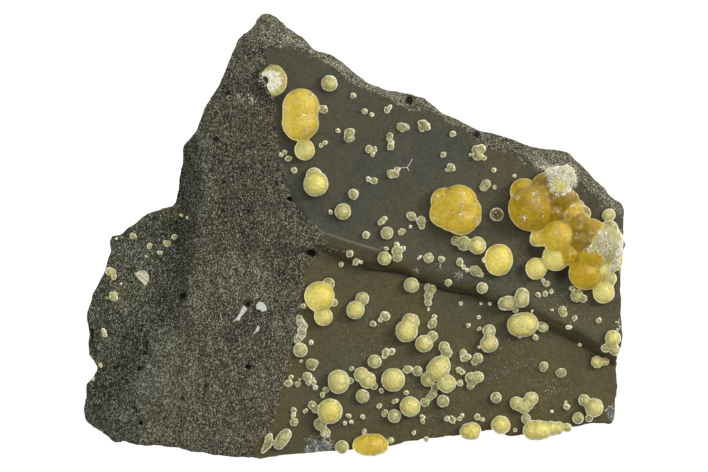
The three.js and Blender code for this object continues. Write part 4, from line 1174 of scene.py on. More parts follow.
def contact_shade(x: np.ndarray, y: np.ndarray) -> np.ndarray:
    """Painted shade on the rock close to each bigger ball, most on the side away from the key light."""
    darkest, reach, least_radius, lean = 0.42, 0.75, 1.1, 0.14
    shade = np.zeros(len(x))
    for growth in (*GROWTHS.values(), *MORE_LOBES.values()):
        for ball in (Ball(*row) for row in growth):
            if ball.radius > least_radius and ball.lift < 1:
                offset = lean * ball.radius
                gap = np.hypot(x - ball.x + offset, y - ball.y + offset) - ball.radius
                shade = np.maximum(shade, darkest * smoothstep(-gap, -reach, 0.1))
    return shade


RELIEF_SCALES = ("Broad", "Middle", "Fine")
ZONE_LIMIT = 5.0  # distances from an edge line are stored up to this, in millimetres


def geometry_tree(name: str, inputs: dict[str, str]) -> NodeTree:
    """Make a geometry tree that takes a piece, a material and named inputs, and gives a piece.

    Args:
        name: The tree's name.
        inputs: For each named input, its kind of socket.

    Returns:
        The tree, still without nodes.
    """
    tree = bpy.data.node_groups.new(name, "GeometryNodeTree")
    for label, kind in {"Geometry": "Geometry", **inputs, "Material": "Material"}.items():
        tree.interface.new_socket(label, in_out="INPUT", socket_type=f"NodeSocket{kind}")
    tree.interface.new_socket("Geometry", in_out="OUTPUT", socket_type="NodeSocketGeometry")
    return tree


def push_and_dress(tree: NodeTree, skin: Node | NodeSocket, height: Node, material: NodeSocket) -> None:
    """End a geometry tree: push the skin out along its normals, give it its material and hand it on.

    Args:
        tree: The geometry tree.
        skin: What gives the geometry.
        height: How far each point is pushed out.
        material: The tree's material input.
    """
    normal = add_node(tree, "GeometryNodeInputNormal")
    offset = add_node(tree, "ShaderNodeVectorMath", {0: normal, "Scale": height}, operation="SCALE")
    moved = add_node(tree, "GeometryNodeSetPosition", {"Geometry": skin, "Offset": offset})
    dressed = add_node(tree, "GeometryNodeSetMaterial", {"Geometry": moved, "Material": material})
    add_node(tree, "NodeGroupOutput", {0: dressed})


def relief_tree() -> NodeTree:
    """Make the tree that roughens a skin along its normals, by three sizes of unevenness."""
    sizes = {f"{scale} {measure}": "Float" for scale in RELIEF_SCALES for measure in ("size", "height")}
    tree = geometry_tree("skin_relief", {"Where": "String", **sizes, "Sink": "Float"})
    add = partial(add_node, tree)
    given = add("NodeGroupInput").outputs
    position = add("GeometryNodeInputPosition")
    total = add("ShaderNodeMath", {0: 0.0, 1: given["Sink"]}, operation="SUBTRACT")
    for scale in RELIEF_SCALES:
        often = add("ShaderNodeMath", {0: 1.0, 1: given[f"{scale} size"]}, operation="DIVIDE")
        noise = add(
            "ShaderNodeTexNoise", {"Vector": position, "Scale": often, "Detail": 1.5, "Roughness": 0.5}
        )
        centred = add("ShaderNodeMath", {0: noise, 1: 0.5}, operation="SUBTRACT")
        total = add(
            "ShaderNodeMath", {0: centred, 1: given[f"{scale} height"], 2: total},
            operation="MULTIPLY_ADD",
        )
    where = add("GeometryNodeInputNamedAttribute", {"Name": given["Where"]}, data_type="FLOAT")
    masked = add("ShaderNodeMath", {0: total, 1: where.outputs["Attribute"]}, operation="MULTIPLY")
    push_and_dress(tree, given["Geometry"], masked, given["Material"])
    return tree


def run_tree(piece: Object, tree: NodeTree, values: dict[str, object]) -> None:
    """Run a geometry tree on a piece and keep what it makes as the piece's plain mesh.

    Args:
        piece: The object the tree starts from.
        tree: The geometry tree.
        values: The tree's named inputs.
    """
    modifier = piece.modifiers.new(tree.name, "NODES")
    modifier.node_group = tree
    for item in tree.interface.items_tree:
        if item.in_out == "INPUT" and item.name in values:
            modifier[item.identifier] = values[item.name]
    settle(piece)


@dataclass(frozen=True)
class Relief:
    """Unevenness of a skin in millimetres: width and full height of each size of lump."""

    broad: tuple[float, float]
    middle: tuple[float, float]
    fine: tuple[float, float]
    sink: float = 0.0  # how far the whole skin draws in

    def press(self, piece: Object, tree: NodeTree, where: str, material: Material) -> None:
        """Press the unevenness into a piece.

        Args:
            piece: The object, in millimetres.
            tree: The relief tree.
            where: Name of the stored value that masks it.
            material: What the piece is made of.
        """
        values = {"Where": where, "Sink": self.sink, "Material": material}
        for scale, lump in zip(RELIEF_SCALES, (self.broad, self.middle, self.fine)):
            values[f"{scale} size"], values[f"{scale} height"] = lump
        run_tree(piece, tree, values)


@dataclass
class Basalt:
    """The rock: smooth cavity lining above, broken faces all round, flat below."""

    faces: FragmentFaces
    tree: NodeTree
    pitch: float = 0.61
    line_width: float = 0.75  # strip along each edge line where the skin is finer
    line_cuts: int = 2
    upright: float = 0.42  # the least rise of a normal on the upper side, near the outline
    brim: float = 1.5  # width of the strip along the outline where the walls may turn in
    skin_depth: float = 3.0  # how far the rough skin may lie under the true faces
    bubble_limit: float = 1.5  # wider pits are hollows, and get no painted shade
    trim: float = 0.15  # cut off the underside, which is then closed flat
    break_relief: Relief = Relief(broad=(7.5, 1.4), middle=(2.6, 0.6), fine=(1.1, 0.26))
    wall_relief: Relief = Relief(broad=(9.0, 3.4), middle=(3.4, 1.4), fine=(1.3, 0.3), sink=1.3)
    lining_relief: Relief = Relief(broad=(6.0, 0.16), middle=(2.4, 0.07), fine=(1.2, 0.03))

    def rough_out(self) -> Object:
        """Copy the CAD rock, level its fused beads with the faces, and give it an even skin."""
        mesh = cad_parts["basalt"].data.copy()
        mesh.materials.clear()
        mesh.transform(Matrix.Scale(1 / MM, 4))
        with editing(mesh) as form:
            bmesh.ops.remove_doubles(form, verts=form.verts, dist=0.002)
        points = read_points(mesh)
        inner = depth_inside(points[:, 0], points[:, 1]) > 0.4
        level = self.faces.surface(points[:, 0], points[:, 1])
        points[inner, 2] = np.minimum(points[inner, 2], level[inner])
        write_points(mesh, points)
        piece = new_object("basalt_fragment", mesh)
        remesh(piece, self.pitch)
        return piece

    def upward(self, points: np.ndarray, normals: np.ndarray) -> np.ndarray:
        """Tell which vertices belong to the upper side."""
        x, y = points[:, 0], points[:, 1]
        facing_up = (normals[:, 2] > self.upright) | (depth_inside(x, y) > self.brim)
        return facing_up & (points[:, 2] > self.faces.surface(x, y) - self.skin_depth)

    def refine_lines(self, piece: Object) -> None:
        """Split the skin finer along the edge lines and around the cracks and pits."""
        for _ in range(self.line_cuts):
            points, normals = read_points(piece.data), read_normals(piece.data)
            x, y = points[:, 0], points[:, 1]
            lined = x > along(RIDGE, y)
            near = np.abs(x - along(RIDGE, y)) < self.line_width
            for line, last in ((UPPER_EDGE, np.inf), (CREASE, np.inf), (CREST, CREST_LIGHT[-1][0])):
                near |= lined & (x < last) & (np.abs(y - along(line, x)) < self.line_width)
            for crack in CRACKS:
                near |= line_gap(crack.points, x, y) < 2 * crack.width + 0.2
            for dent in DENTS:
                near |= np.hypot(x - dent.x, y - dent.y) < min(dent.along, 1.0) + 0.2
            near &= self.upward(points, normals)
            with editing(piece.data) as form:
                form.verts.ensure_lookup_table()
                edges = [e for e in form.edges if near[e.verts[0].index] and near[e.verts[1].index]]
                bmesh.ops.subdivide_edges(form, edges=edges, cuts=1, use_grid_fill=True)

    def sunk(self, x: np.ndarray, y: np.ndarray) -> tuple[np.ndarray, np.ndarray]:
        """Give the depth of the pits and cracks at each place, and the painted shade in them."""
        wavy_x, wavy_y = x + ragged(x, y), y + ragged(y, x)
        depth, shade = np.zeros(len(x)), np.zeros(len(x))
        for dent in DENTS:
            spread = np.hypot((x - dent.x) / dent.along, (y - dent.y) / dent.across)
            depth = np.maximum(depth, dent.depth * np.sqrt(np.clip(1 - spread**2, 0, 1)))
            if dent.along < self.bubble_limit:
                shade = np.maximum(shade, 0.95 * smoothstep(1.1 - spread, 0, 0.35))
        for crack in CRACKS:
            gap = line_gap(crack.points, wavy_x, wavy_y) / crack.width
            depth = np.maximum(depth, crack.depth * smoothstep(1.2 - gap, 0, 1))
            shade = np.maximum(shade, 0.9 * smoothstep(1.4 - gap, 0, 0.9))
        return depth, shade

    def shape_top(self, piece: Object) -> None:
        """Lay the upper side on its true faces, sink its pits, and store its zones."""
        mesh = piece.data
        points, normals = read_points(mesh), read_normals(mesh)
        x, y = points[:, 0], points[:, 1]
        wavy_x, wavy_y = x + ragged(x, y), y + ragged(y, x)
        faces = self.faces
        lining, bevel, left = faces.lining(x, y), faces.bevel(x, wavy_y), faces.left(wavy_x, y)
        level = np.minimum(np.minimum(lining, bevel), left)
        top = self.upward(points, normals)
        pits, shade = self.sunk(x, y)
        # Painted shade: in the small pits and cracks, close to the bigger balls, and in the listed soft
        # dark places.
        shade = np.maximum(np.maximum(shade, contact_shade(x, y)), patches(SHADES, x, y))
        points[top, 2] = (level - pits)[top]
        write_points(mesh, points)
        above_lining = np.where(top, np.minimum(bevel, left) - lining, -ZONE_LIMIT)
        lined = smoothstep(above_lining, 0, 0.3)
        wall = np.where(top, 0.0, smoothstep(level - points[:, 2], 0.4, 6))
        upper = smoothstep(points[:, 2] - level, -2.5, -0.8)
        crease_gap, crest_gap = (
            np.minimum(np.where(above_lining > -0.5, np.abs(y - along(line, x)), ZONE_LIMIT), ZONE_LIMIT)
            for line in (CREASE, CREST)
        )
        cool = smoothstep(along(STEP_TOP, y) - wavy_x, -0.5, 0.5)
        steep = cool * smoothstep(x - along(STEP_FOOT, y), -1, 1) * smoothstep(y, -22, -12)
        brown = np.maximum.reduce([
            smoothstep(along(CREST, x) - y, -1, 2),
            0.8 * smoothstep(x, 24, 38) * smoothstep(-y, 2, 9),
            0.45 * smoothstep(x, 18, 32) * smoothstep(y, 3, 10),
        ])
        write_values(
            mesh,
            above_lining=np.clip(above_lining, -ZONE_LIMIT, ZONE_LIMIT),
            below_fold=brown,
            cool=cool * (x < 0),
            dust=patches(DUST, x, y) * upper,
            stain=patches(STAINS, x, y) * upper,
            shade=shade * top,
            # The steep step and the lobe are painted a little darker: painted shade on faces turned from
            # the key light.
            tone=signed_patches(TONES, x, y) - 0.03 * steep - 0.04 * cool,
            chip=patches(CHIPS, x, y) * upper,
            crest_gap=crest_gap,
            crest_light=along(CREST_LIGHT, x),
            crease_gap=crease_gap,
            crease_dark=along(CREASE_DARKNESS, x),
            wall=wall,
            broken=(1 - lined) * (1 - 0.5 * wall),
            lined=lined,
        )

    def flatten_base(self, piece: Object) -> None:
        """Trim the underside and close it with one flat face at the base."""
        with editing(piece.data) as form:
            cut = bmesh.ops.bisect_plane(
                form,
                geom=[*form.verts, *form.edges, *form.faces],
                plane_co=(0, 0, self.trim),
                plane_no=(0, 0, 1),
                clear_inner=True,
            )
            rim = [item for item in cut["geom_cut"] if isinstance(item, bmesh.types.BMEdge)]
            for edge in rim:
                for vertex in edge.verts:
                    vertex.co.z = 0.0
            bmesh.ops.edgeloop_fill(form, edges=rim)
            bmesh.ops.recalc_face_normals(form, faces=form.faces)

    def build(self) -> Object:
        """Build the rock and hand it to the frame."""
        piece = self.rough_out()
        self.refine_lines(piece)
        self.shape_top(piece)
        stone = BasaltFinish().build()
        self.wall_relief.press(piece, self.tree, "wall", stone)
        self.break_relief.press(piece, self.tree, "broken", stone)
        self.lining_relief.press(piece, self.tree, "lined", stone)
        self.flatten_base(piece)
        finish_piece(piece, Slot.BASALT, "basalt")
        return piece


# ---- The calcite --------------------------------------------------------------------------------


def seat(radius: float) -> float:
    """Height of a ball's middle above the rock: bigger balls stand prouder."""
    return radius * (0.35 + 0.06 * radius)


def usual_ripeness(radius: float) -> float:
    """Ripeness of a ball that isn't given one: bigger balls are more honey-coloured."""
    return float(np.clip(0.12 + 0.19 * (radius - 0.9), 0.1, 0.46))


def edge_distance(radius: np.ndarray, upright: np.ndarray) -> np.ndarray:
    """Distance in from a ball's outline as seen from above, from how upright its skin is."""
    return radius * (1 - np.sqrt(1 - np.clip(upright, 0, 1) ** 2))


def passed_share(normals: np.ndarray) -> np.ndarray:
    """Share of the painted glow, for light passed through a ball, on each part of its skin, from the skin's
    normals: most on the side away from the key light.
    """
    toward_key = np.array([0.9, 0.44, 0.0])
    return smoothstep(-normals @ toward_key, -0.1, 0.85)


@dataclass
class CalciteGrowth:
    """Balls of calcite grown together, seated on the rock."""

    name: str
    balls: list[Ball]
    faces: FragmentFaces
    tree: NodeTree
    sunk: float = 0.35  # how far the underside reaches below the rock's skin
    blend: float = 0.07  # width of the change between two balls' looks
    ripeness: tuple[float, ...] = ()
    middles: np.ndarray = field(init=False)
    radii: np.ndarray = field(init=False)

    def __post_init__(self) -> None:
        """Work out where each ball's middle stands."""
        plan = np.array([[ball.x, ball.y] for ball in self.balls])
        self.radii = np.array([ball.radius for ball in self.balls])
        lifts = np.array([seat(ball.radius) + ball.lift for ball in self.balls])
        heights = self.faces.surface(plan[:, 0], plan[:, 1]) + lifts
        self.middles = np.column_stack([plan, heights])
        if not self.ripeness:
            self.ripeness = tuple(usual_ripeness(radius) for radius in self.radii)

    @property
    def biggest(self) -> float:
        """Radius of the biggest ball."""
        return float(self.radii.max())

    def join_balls(self) -> Object:
        """Grow the balls together into one skin, with rounded creases between them."""
        mesh = bpy.data.meshes.new(self.name)
        with editing(mesh) as form:
            for middle, radius in zip(self.middles, self.radii):
                place = Matrix.Translation(Vector(middle)) @ Matrix.Scale(radius, 4)
                bmesh.ops.create_icosphere(form, subdivisions=4, radius=1.0, matrix=place)
        piece = new_object(f"{self.name}_skin", mesh)
        remesh(piece, 0.12 + 0.02 * self.biggest, rounding=14 if self.biggest > HONEY_RADIUS else 4)
        return piece

    def set_down(self, piece: Object) -> None:
        """Press the underside flat just under the rock's skin."""
        points = read_points(piece.data)
        x, y = points[:, 0], points[:, 1]
        floor = self.faces.surface(x, y) - self.sunk
        inside = depth_inside(x, y) > 0
        points[:, 2] = np.where(inside, np.maximum(points[:, 2], floor), points[:, 2])
        write_points(piece.data, points)

    def store_looks(self, piece: Object) -> None:
        """Store each vertex's ripeness, edge distance and crust, blended between neighbouring balls."""
        points, normals = read_points(piece.data), read_normals(piece.data)
        away = np.linalg.norm(points[:, None, :] - self.middles[None], axis=2) - self.radii
        share = np.exp(-(away - away.min(axis=1, keepdims=True)) / self.blend)
        share /= share.sum(axis=1, keepdims=True)
        x, y = points[:, 0], points[:, 1]
        druse = np.minimum(patches(DRUSE, x, y), 1)
        write_values(
            piece.data,
            ripeness=share @ np.array(self.ripeness),
            edge=edge_distance(share @ self.radii, normals[:, 2]),
            # Crust: white crystal crusts, and over the druse a faint pale haze that is a painted highlight.
            crust=np.maximum(patches(CRUSTS, x, y), 0.2 * druse),
            druse=druse,
            through=passed_share(normals),
        )

    def build(self, materials: dict[Slot, Material]) -> Object:
        """Build the growth and hand it to the frame.

        Args:
            materials: The honey and pale calcite.

        Returns:
            The finished object.
        """
        slot = Slot.HONEY if self.biggest > HONEY_RADIUS else Slot.PALE
        piece = self.join_balls()
        write_values(piece.data, whole=1.0)
        root = self.biggest**0.5
        honey = slot is Slot.HONEY or max(self.ripeness) > 0.6
        if honey:
            lumps = Relief(broad=(0.9 * self.biggest, 0.15 * root), middle=(1.2, 0.14), fine=(0.5, 0.06))
        else:
            lumps = Relief(broad=(0.9 * self.biggest, 0.24 * root), middle=(0.9, 0.14), fine=(0.5, 0.09))
        lumps.press(piece, self.tree, "whole", materials[Slot.HONEY if honey else Slot.PALE])
        self.set_down(piece)
        self.store_looks(piece)
        finish_piece(piece, slot, self.name)
        return piece


@dataclass
class BrokenBall(CalciteGrowth):
    """A ball that broke with the rock, so that its banded inside shows beside the big broken face."""

    hollow: tuple[float, float, float] = (-17.6, 31.2, 1.0)
    hollow_depth: float = 0.9
    stand_out: float = 0.35  # how far the broken side stands out of the broken face
    side_drop: float = 0.6  # how far it stays under the face past its side line
    side: tuple[tuple[float, float], ...] = (
        (27, -15.9), (28, -16.5), (29.6, -17.3), (31, -17.9), (32.6, -18.5), (33.4, -17.8), (34.2, -16.9),
        (35, -16),
    )

    def set_down(self, piece: Object) -> None:
        """Cut the ball with the broken face, open its hollow, then seat it."""
        points = read_points(piece.data)
        x, y = points[:, 0], points[:, 1]
        cut = self.faces.surface(x, y) + self.stand_out + 0.5 * np.clip(x - along(self.side, y), 0, 9)
        hx, hy, reach = self.hollow
        near = np.hypot(x - hx, y - hy) / reach
        cut -= self.hollow_depth * np.sqrt(np.clip(1 - near**2, 0, 1))
        cut = np.where(x < along(self.side, y), self.faces.surface(x, y) - self.side_drop, cut)
        points[:, 2] = np.minimum(points[:, 2], cut)
        write_points(piece.data, points)

    def store_looks(self, piece: Object) -> None:
        """Store the inside's white fibres and growth rings, the brown hollow and the honey skin."""
        super().store_looks(piece)
        points = read_points(piece.data)
        x, y = points[:, 0], points[:, 1]
        out = np.hypot(x - self.middles[0][0], y - self.middles[0][1]) / self.radii[0]
        turn = np.arctan2(y - self.hollow[1], x - self.hollow[0])
        fibres = 0.5 + 0.5 * np.sin(turn * 29 + 2 * np.sin(turn * 11) + 5 * out)
        rings = 0.5 + 0.5 * np.sin(out * 26 + 1.4 * np.sin(turn * 5))
        inner = smoothstep(0.84 - out + 0.06 * np.sin(turn * 17), 0, 0.36)
        heart = smoothstep(0.62 - np.hypot(x - self.hollow[0], y - self.hollow[1]) / self.hollow[2], 0, 0.3)
        write_values(
            piece.data,
            crust=inner * (0.42 + 0.4 * fibres + 0.28 * rings) * (1 - heart),
            ripeness=self.ripeness[0] * (1 - heart),
            edge=np.where(inner > 0.8, 1.5, 0.16 + 2.4 * np.clip(1 - out, 0, 0.5)),
        )


def bead_tree() -> NodeTree:
    """Make the tree that stands a small lumpy grain on each point."""
    tree = geometry_tree(
        "calcite_grains",
        {"Roundness": "Int", "Tilt": "Float", "Squash": "Float", "Uneven": "Float", "Seed": "Int"},
    )
    add = partial(add_node, tree)
    given = add("NodeGroupInput").outputs
    bead = add("GeometryNodeMeshIcoSphere", {"Radius": 1.0, "Subdivisions": given["Roundness"]})
    radius = add("GeometryNodeInputNamedAttribute", {"Name": "radius"}, data_type="FLOAT")
    least = add("ShaderNodeMath", {0: 1.0, 1: given["Squash"]}, operation="SUBTRACT")
    most = add("ShaderNodeMath", {0: 1.0, 1: given["Squash"]})
    down = add("ShaderNodeMath", {0: 0.0, 1: given["Tilt"]}, operation="SUBTRACT")
    lowest = add("ShaderNodeCombineXYZ", {0: down, 1: down, 2: 0.0})
    highest = add("ShaderNodeCombineXYZ", {0: given["Tilt"], 1: given["Tilt"], 2: 2 * math.pi})
    stretch, turn = (
        add("FunctionNodeRandomValue", {0: low, 1: high, "Seed": given["Seed"]}, data_type="FLOAT_VECTOR")
        for low, high in ((least, most), (lowest, highest))
    )
    size = add(
        "ShaderNodeVectorMath", {0: stretch, "Scale": radius.outputs["Attribute"]}, operation="SCALE"
    )
    stood = add(
        "GeometryNodeInstanceOnPoints",
        {"Points": given["Geometry"], "Instance": bead, "Rotation": turn, "Scale": size},
    )
    real = add("GeometryNodeRealizeInstances", {0: stood})
    position = add("GeometryNodeInputPosition")
    noise = add("ShaderNodeTexNoise", {"Vector": position, "Scale": 1.3, "Detail": 2.0})
    centred = add("ShaderNodeMath", {0: noise, 1: 0.5}, operation="SUBTRACT")
    height = add("ShaderNodeMath", {0: centred, 1: given["Uneven"]}, operation="MULTIPLY")
    push_and_dress(tree, real, height, given["Material"])
    return tree


@dataclass
class Grains:
    """Small grains of calcite standing on given places, in one mesh."""

    name: str
    places: np.ndarray  # rows of x, y, z, radius
    tree: NodeTree
    material: Material
    seed: int
    roundness: int = 1
    tilt: float = 1.5
    squash: float = 0.35
    uneven: float = 0.0
    ripeness: float = 0.12
    smooth: bool = False

    def build(self) -> Object:
        """Build the grains and hand them to the frame."""
        mesh = bpy.data.meshes.new(self.name)
        mesh.from_pydata([tuple(row) for row in self.places[:, :3]], [], [])
        write_values(mesh, radius=self.places[:, 3])
        piece = new_object(self.name, mesh)
        values = {
            "Roundness": self.roundness, "Tilt": self.tilt, "Squash": self.squash,
            "Uneven": self.uneven, "Seed": self.seed, "Material": self.material,
        }
        run_tree(piece, self.tree, values)
        radius = np.empty(len(piece.data.vertices), np.float32)
        piece.data.attributes["radius"].data.foreach_get("value", radius)
        normals = read_normals(piece.data)
        write_values(
            piece.data, edge=edge_distance(radius, normals[:, 2]), through=passed_share(normals),
            ripeness=self.ripeness, crust=0.0,
        )
        finish_piece(piece, Slot.PALE, smooth=self.smooth)
        return piece


@dataclass
class GrainPlaces:
    """Finds where loose grains rest on the finished specimen."""

    pieces: list[Object]
    seed: int = 11
    sky: float = 80.0  # height that the grains are dropped from
    standing: float = 0.2  # share of its radius by which a grain's middle clears the skin

    def __post_init__(self) -> None:
        """Make each piece ready for dropping grains on it."""
        graph = bpy.context.evaluated_depsgraph_get()
        self.targets = [BVHTree.FromObject(piece, graph) for piece in self.pieces]
        self.luck = np.random.default_rng(self.seed)

    def drop(self, x: float, y: float) -> float | None:
        """Give the height in millimetres where a grain dropped at a place comes to rest."""
        above = Vector((x * MM, y * MM, self.sky * MM))
        hits = [target.ray_cast(above, Vector((0, 0, -1)))[0] for target in self.targets]
        heights = [hit.z / MM for hit in hits if hit is not None]
        return max(heights) if heights else None

    def settle_grains(self, plan: np.ndarray, radii: np.ndarray) -> np.ndarray:
        """Stand grains at plan places.

        Args:
            plan: Rows of x, y.
            radii: Each grain's radius.

        Returns:
            Rows of x, y, z and radius for the grains that found a place.
        """
        rows = []
        for (x, y), radius in zip(plan, radii):
            height = self.drop(float(x), float(y))
            if height is not None:
                rows.append((x, y, height + self.standing * radius, radius))
        return np.array(rows)

    def over_spots(self, spots: list[Spot], per_area: float, smallest: float, biggest: float) -> np.ndarray:
        """Strew grains over round patches, more of them near each patch's middle."""
        plan = []
        for spot in spots:
            count = max(3, round(spot.density * per_area * math.pi * spot.reach**2))
            turn = self.luck.uniform(0, 2 * math.pi, count)
            out = spot.reach * self.luck.uniform(0, 1, count) ** 0.7
            plan.append(np.column_stack([spot.x + out * np.cos(turn), spot.y + out * np.sin(turn)]))
        plan = np.vstack(plan)
        return self.settle_grains(plan, self.luck.uniform(smallest, biggest, len(plan)))

    def over_streaks(self, streaks: list[Streak]) -> np.ndarray:
        """Strew grains along trails."""
        rows = []
        for streak in streaks:
            corners = np.array(streak.points)
            runs = np.concatenate([[0], np.cumsum(np.hypot(*np.diff(corners, axis=0).T))])
            at = self.luck.uniform(0, runs[-1], streak.grains)
            plan = np.column_stack([np.interp(at, runs, corners[:, i]) for i in (0, 1)])
            plan += self.luck.normal(0, streak.width / 2, plan.shape)
            rows.append(self.settle_grains(plan, streak.grain * self.luck.uniform(0.5, 1.3, len(plan))))
        return np.vstack(rows)


@dataclass
class WhiteFilling:
    """A flat white filling lying in the rock."""

    name: str
    corners: list[tuple[float, float]]
    faces: FragmentFaces
    proud: float = 0.1
    thickness: float = 1.2
    fan_away: float = 1.6  # how far outside the first corner its fibres meet

    def build(self, material: Material) -> Object:
        """Build the filling and hand it to the frame."""
        plan = np.array(self.corners)
        heights = self.faces.surface(plan[:, 0], plan[:, 1]) + self.proud
        mesh = bpy.data.meshes.new(self.name)
        with editing(mesh) as form:
            corners = [form.verts.new((x, y, z)) for (x, y), z in zip(plan, heights)]
            top = form.faces.new(corners)
            grown = bmesh.ops.extrude_face_region(form, geom=[top])
            for item in grown["geom"]:
                if isinstance(item, bmesh.types.BMVert):
                    item.co.z -= self.thickness
            bmesh.ops.recalc_face_normals(form, faces=form.faces)
        piece = new_object(self.name, mesh)
        remesh(piece, 0.1, rounding=3)
        points, normals = read_points(piece.data), read_normals(piece.data)
        away_x, away_y = points[:, 0] - plan[0, 0], points[:, 1] - plan[0, 1]
        fan = np.arctan2(away_y - self.fan_away, away_x + self.fan_away)
        write_values(
            piece.data,
            ripeness=0.2,
            edge=np.where(normals[:, 2] > 0.8, 0.9, 0.3),
            crust=0.6 + 0.18 * np.sin(fan * 40) + 0.14 * np.sin(fan * 23 + 1),
            through=0.0,
        )
        piece.data.materials.append(material)
        finish_piece(piece, Slot.PALE)
        return piece


@dataclass
class Whisker:
    """A hair-thin white fibre lying on the lining."""

    name: str
    points: tuple[tuple[float, float], ...]
    faces: FragmentFaces
    radius: float = 0.07
    lift: float = 0.1

    def build(self, material: Material) -> Object:
        """Build the fibre and hand it to the frame."""
        line = bpy.data.curves.new(self.name, "CURVE")
        line.dimensions = "3D"
        line.bevel_depth = self.radius
        line.bevel_resolution = 1
        plan = np.array(self.points)
        heights = self.faces.surface(plan[:, 0], plan[:, 1]) + self.lift
        spline = line.splines.new("POLY")
        spline.points.add(len(plan) - 1)
        for point, (x, y), z in zip(spline.points, plan, heights):
            point.co = (x, y, z, 1)
        shape = new_object(f"{self.name}_line", line)
        graph = bpy.context.evaluated_depsgraph_get()
        mesh = bpy.data.meshes.new_from_object(shape.evaluated_get(graph), depsgraph=graph)
        bpy.data.objects.remove(shape)
        piece = new_object(self.name, mesh)
        mesh.materials.clear()
        mesh.materials.append(material)
        finish_piece(piece, Slot.PALE)
        return piece


# ---- Studio -------------------------------------------------------------------------------------


@dataclass(frozen=True)
class Softbox:
    """A rectangular soft light that faces the specimen, placed in metres."""

    name: str
    place: tuple[float, float, float]
    size: tuple[float, float]
    watts: float
    tint: str = "#ffffff"
    aim: tuple[float, float, float] = (0.0, 0.0, 0.03)

    def hang(self) -> None:
        """Hang the light so that it faces the middle of the lining."""
        light = bpy.data.lights.new(self.name, "AREA")
        light.shape = "RECTANGLE"
        light.size, light.size_y = self.size
        light.energy = self.watts
        light.color = to_linear(self.tint)[:3]
        lamp = new_object(self.name, light)
        lamp.location = self.place
        lamp.rotation_euler = (Vector(self.aim) - lamp.location).to_track_quat("-Z", "Y").to_euler()
        lamp.visible_camera = False


@dataclass
class Studio:
    """Pale floor, soft light mostly from the right, and a camera straight above."""

    view_width: float = 141.6 * MM
    view_height_above: float = 30 * MM
    lens: float = 800.0  # a long lens, so that low and high parts keep one scale
    sensor: float = 36.0
    room_light: float = 0.34
    floor_reach: float = 3.0
    floor_drop: float = 0.05 * MM  # the floor lies just clear of the specimen
    softboxes: tuple[Softbox, ...] = (
        Softbox("softbox_overhead", (0.04, 0.08, 0.8), (0.12, 0.16), 1.7),
        Softbox("softbox_right", (0.62, 0.26, 0.55), (0.2, 0.3), 5.2, "#fffaf2"),
        Softbox("softbox_top", (0.05, 0.7, 0.5), (0.4, 0.15), 1.2),
    )

    def lay_floor(self) -> None:
        """Lay the pale floor."""
        mesh = bpy.data.meshes.new("floor")
        with editing(mesh) as form:
            bmesh.ops.create_grid(form, x_segments=1, y_segments=1, size=self.floor_reach)
        mesh.transform(Matrix.Translation((0, 0, -self.floor_drop)))
        floor = new_object("floor", mesh)
        material, tree = new_material("paper_backdrop")
        shader = add_node(
            tree,
            "ShaderNodeBsdfPrincipled",
            {
                "Base Color": to_linear("#808080"),
                "Roughness": 0.9,
                "Specular IOR Level": 0.0,
                "Emission Color": (1.0, 1.0, 1.0, 1.0),
                "Emission Strength": 1.0,
            },
        )
        add_node(tree, "ShaderNodeOutputMaterial", {0: shader})
        mesh.materials.append(material)

    def light_up(self) -> None:
        """Hang the softboxes and set the room's even light."""
        for softbox in self.softboxes:
            softbox.hang()
        world = bpy.data.worlds.new("white_room")
        world.use_nodes = True
        background = world.node_tree.nodes["Background"]
        background.inputs[0].default_value = to_linear("#ffffff")
        background.inputs[1].default_value = self.room_light
        bpy.context.scene.world = world
        bpy.context.scene.view_settings.view_transform = "Standard"

    def set_camera(self) -> None:
        """Stand the camera straight above the specimen."""
        lens = bpy.data.cameras.new("camera")
        lens.lens = self.lens
        lens.sensor_width = self.sensor
        distance = self.view_width * self.lens / self.sensor
        lens.clip_start = 0.1
        lens.clip_end = 20.0
        camera = new_object("camera", lens)
        camera.location = (0.0, 0.0, self.view_height_above + distance)
        bpy.context.scene.camera = camera

    def build(self) -> None:
        """Set up everything around the specimen."""
        self.set_camera()
        self.lay_floor()
        self.light_up()


# ---- The specimen -------------------------------------------------------------------------------


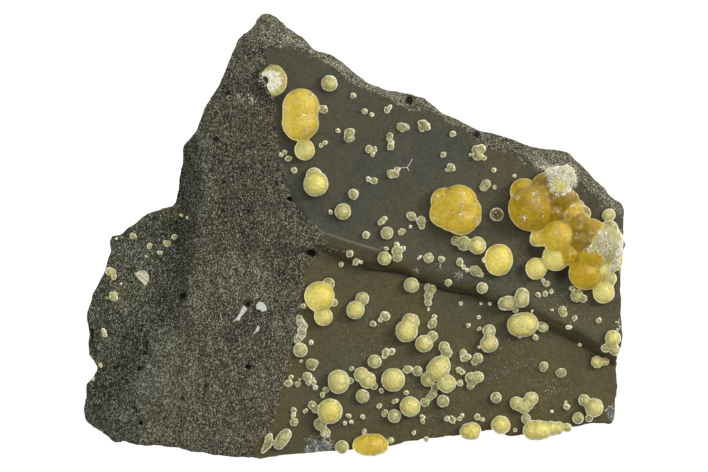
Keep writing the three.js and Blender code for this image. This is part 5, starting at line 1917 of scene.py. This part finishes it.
def build_growths(faces: FragmentFaces, tree: NodeTree) -> list[Object]:
    """Build every growth that has a solid of its own, and give the finished objects."""
    materials = {Slot.HONEY: HONEY.build(), Slot.PALE: PALE.build()}
    made = []
    for name, balls in GROWTHS.items():
        kind = BrokenBall if name == "calcite_broken_ball" else CalciteGrowth
        lobes = [Ball(*ball) for ball in balls + MORE_LOBES.get(name, [])]
        made.append(kind(name, lobes, faces, tree, ripeness=RIPENESS.get(name, ())).build(materials))
    return made


def strew_grains(rock: Object, growths: list[Object], faces: FragmentFaces) -> None:
    """Stand the beads, crusts, druse and dust on the rock and the growths."""
    tree = bead_tree()
    pale = bpy.data.materials["calcite_pale"]
    for name, rows, ripeness, seed in (
        ("calcite_small_beads", BEADS, 0.13, 7),
        ("calcite_lobe_beads", LOBE_BEADS, 0.3, 12),
    ):
        beads = np.array(rows)
        heights = faces.surface(beads[:, 0], beads[:, 1]) + 0.3 * beads[:, 2]
        standing = np.column_stack([beads[:, :2], heights, beads[:, 2]])
        Grains(
            name, standing, tree, pale, seed, roundness=3, tilt=0.3, squash=0.26, uneven=0.7,
            ripeness=ripeness, smooth=True,
        ).build()
    places = GrainPlaces([rock, *growths])
    white = CrystalFinish("calcite_crystal_ends", "#8f8a6e", "#efebd8").build()
    crust = places.over_spots(CRUSTS, per_area=40.0, smallest=0.06, biggest=0.14)
    Grains("calcite_white_crust", crust, tree, white, seed=8).build()
    cream = CrystalFinish("calcite_druse_ends", "#a38f52", "#fff8e2").build()
    druse = places.over_spots(DRUSE, per_area=15.0, smallest=0.05, biggest=0.12)
    Grains("calcite_druse", druse, tree, cream, seed=9).build()
    trails = places.over_streaks(STREAKS)
    Grains("calcite_dust_trails", trails, tree, white, seed=10).build()


def main() -> None:
    """Build the studio and every piece of the specimen."""
    logging.basicConfig(level=logging.INFO, format="%(name)s: %(message)s")
    Studio().build()
    faces = FragmentFaces()
    tree = relief_tree()
    rock = Basalt(faces, tree).build()
    growths = build_growths(faces, tree)
    strew_grains(rock, growths, faces)
    white = WhiteFillingFinish().build()
    for name, corners in FILLINGS.items():
        WhiteFilling(name, corners, faces).build(white)
    pale = bpy.data.materials["calcite_pale"]
    WhiteFilling("calcite_blade_on_lobe", BLADE, faces, proud=0.35).build(pale)
    for number, points in enumerate(WHISKER, start=1):
        Whisker(f"white_fibre_{number}", points, faces).build(white)


if __name__ == "__main__":
    main()
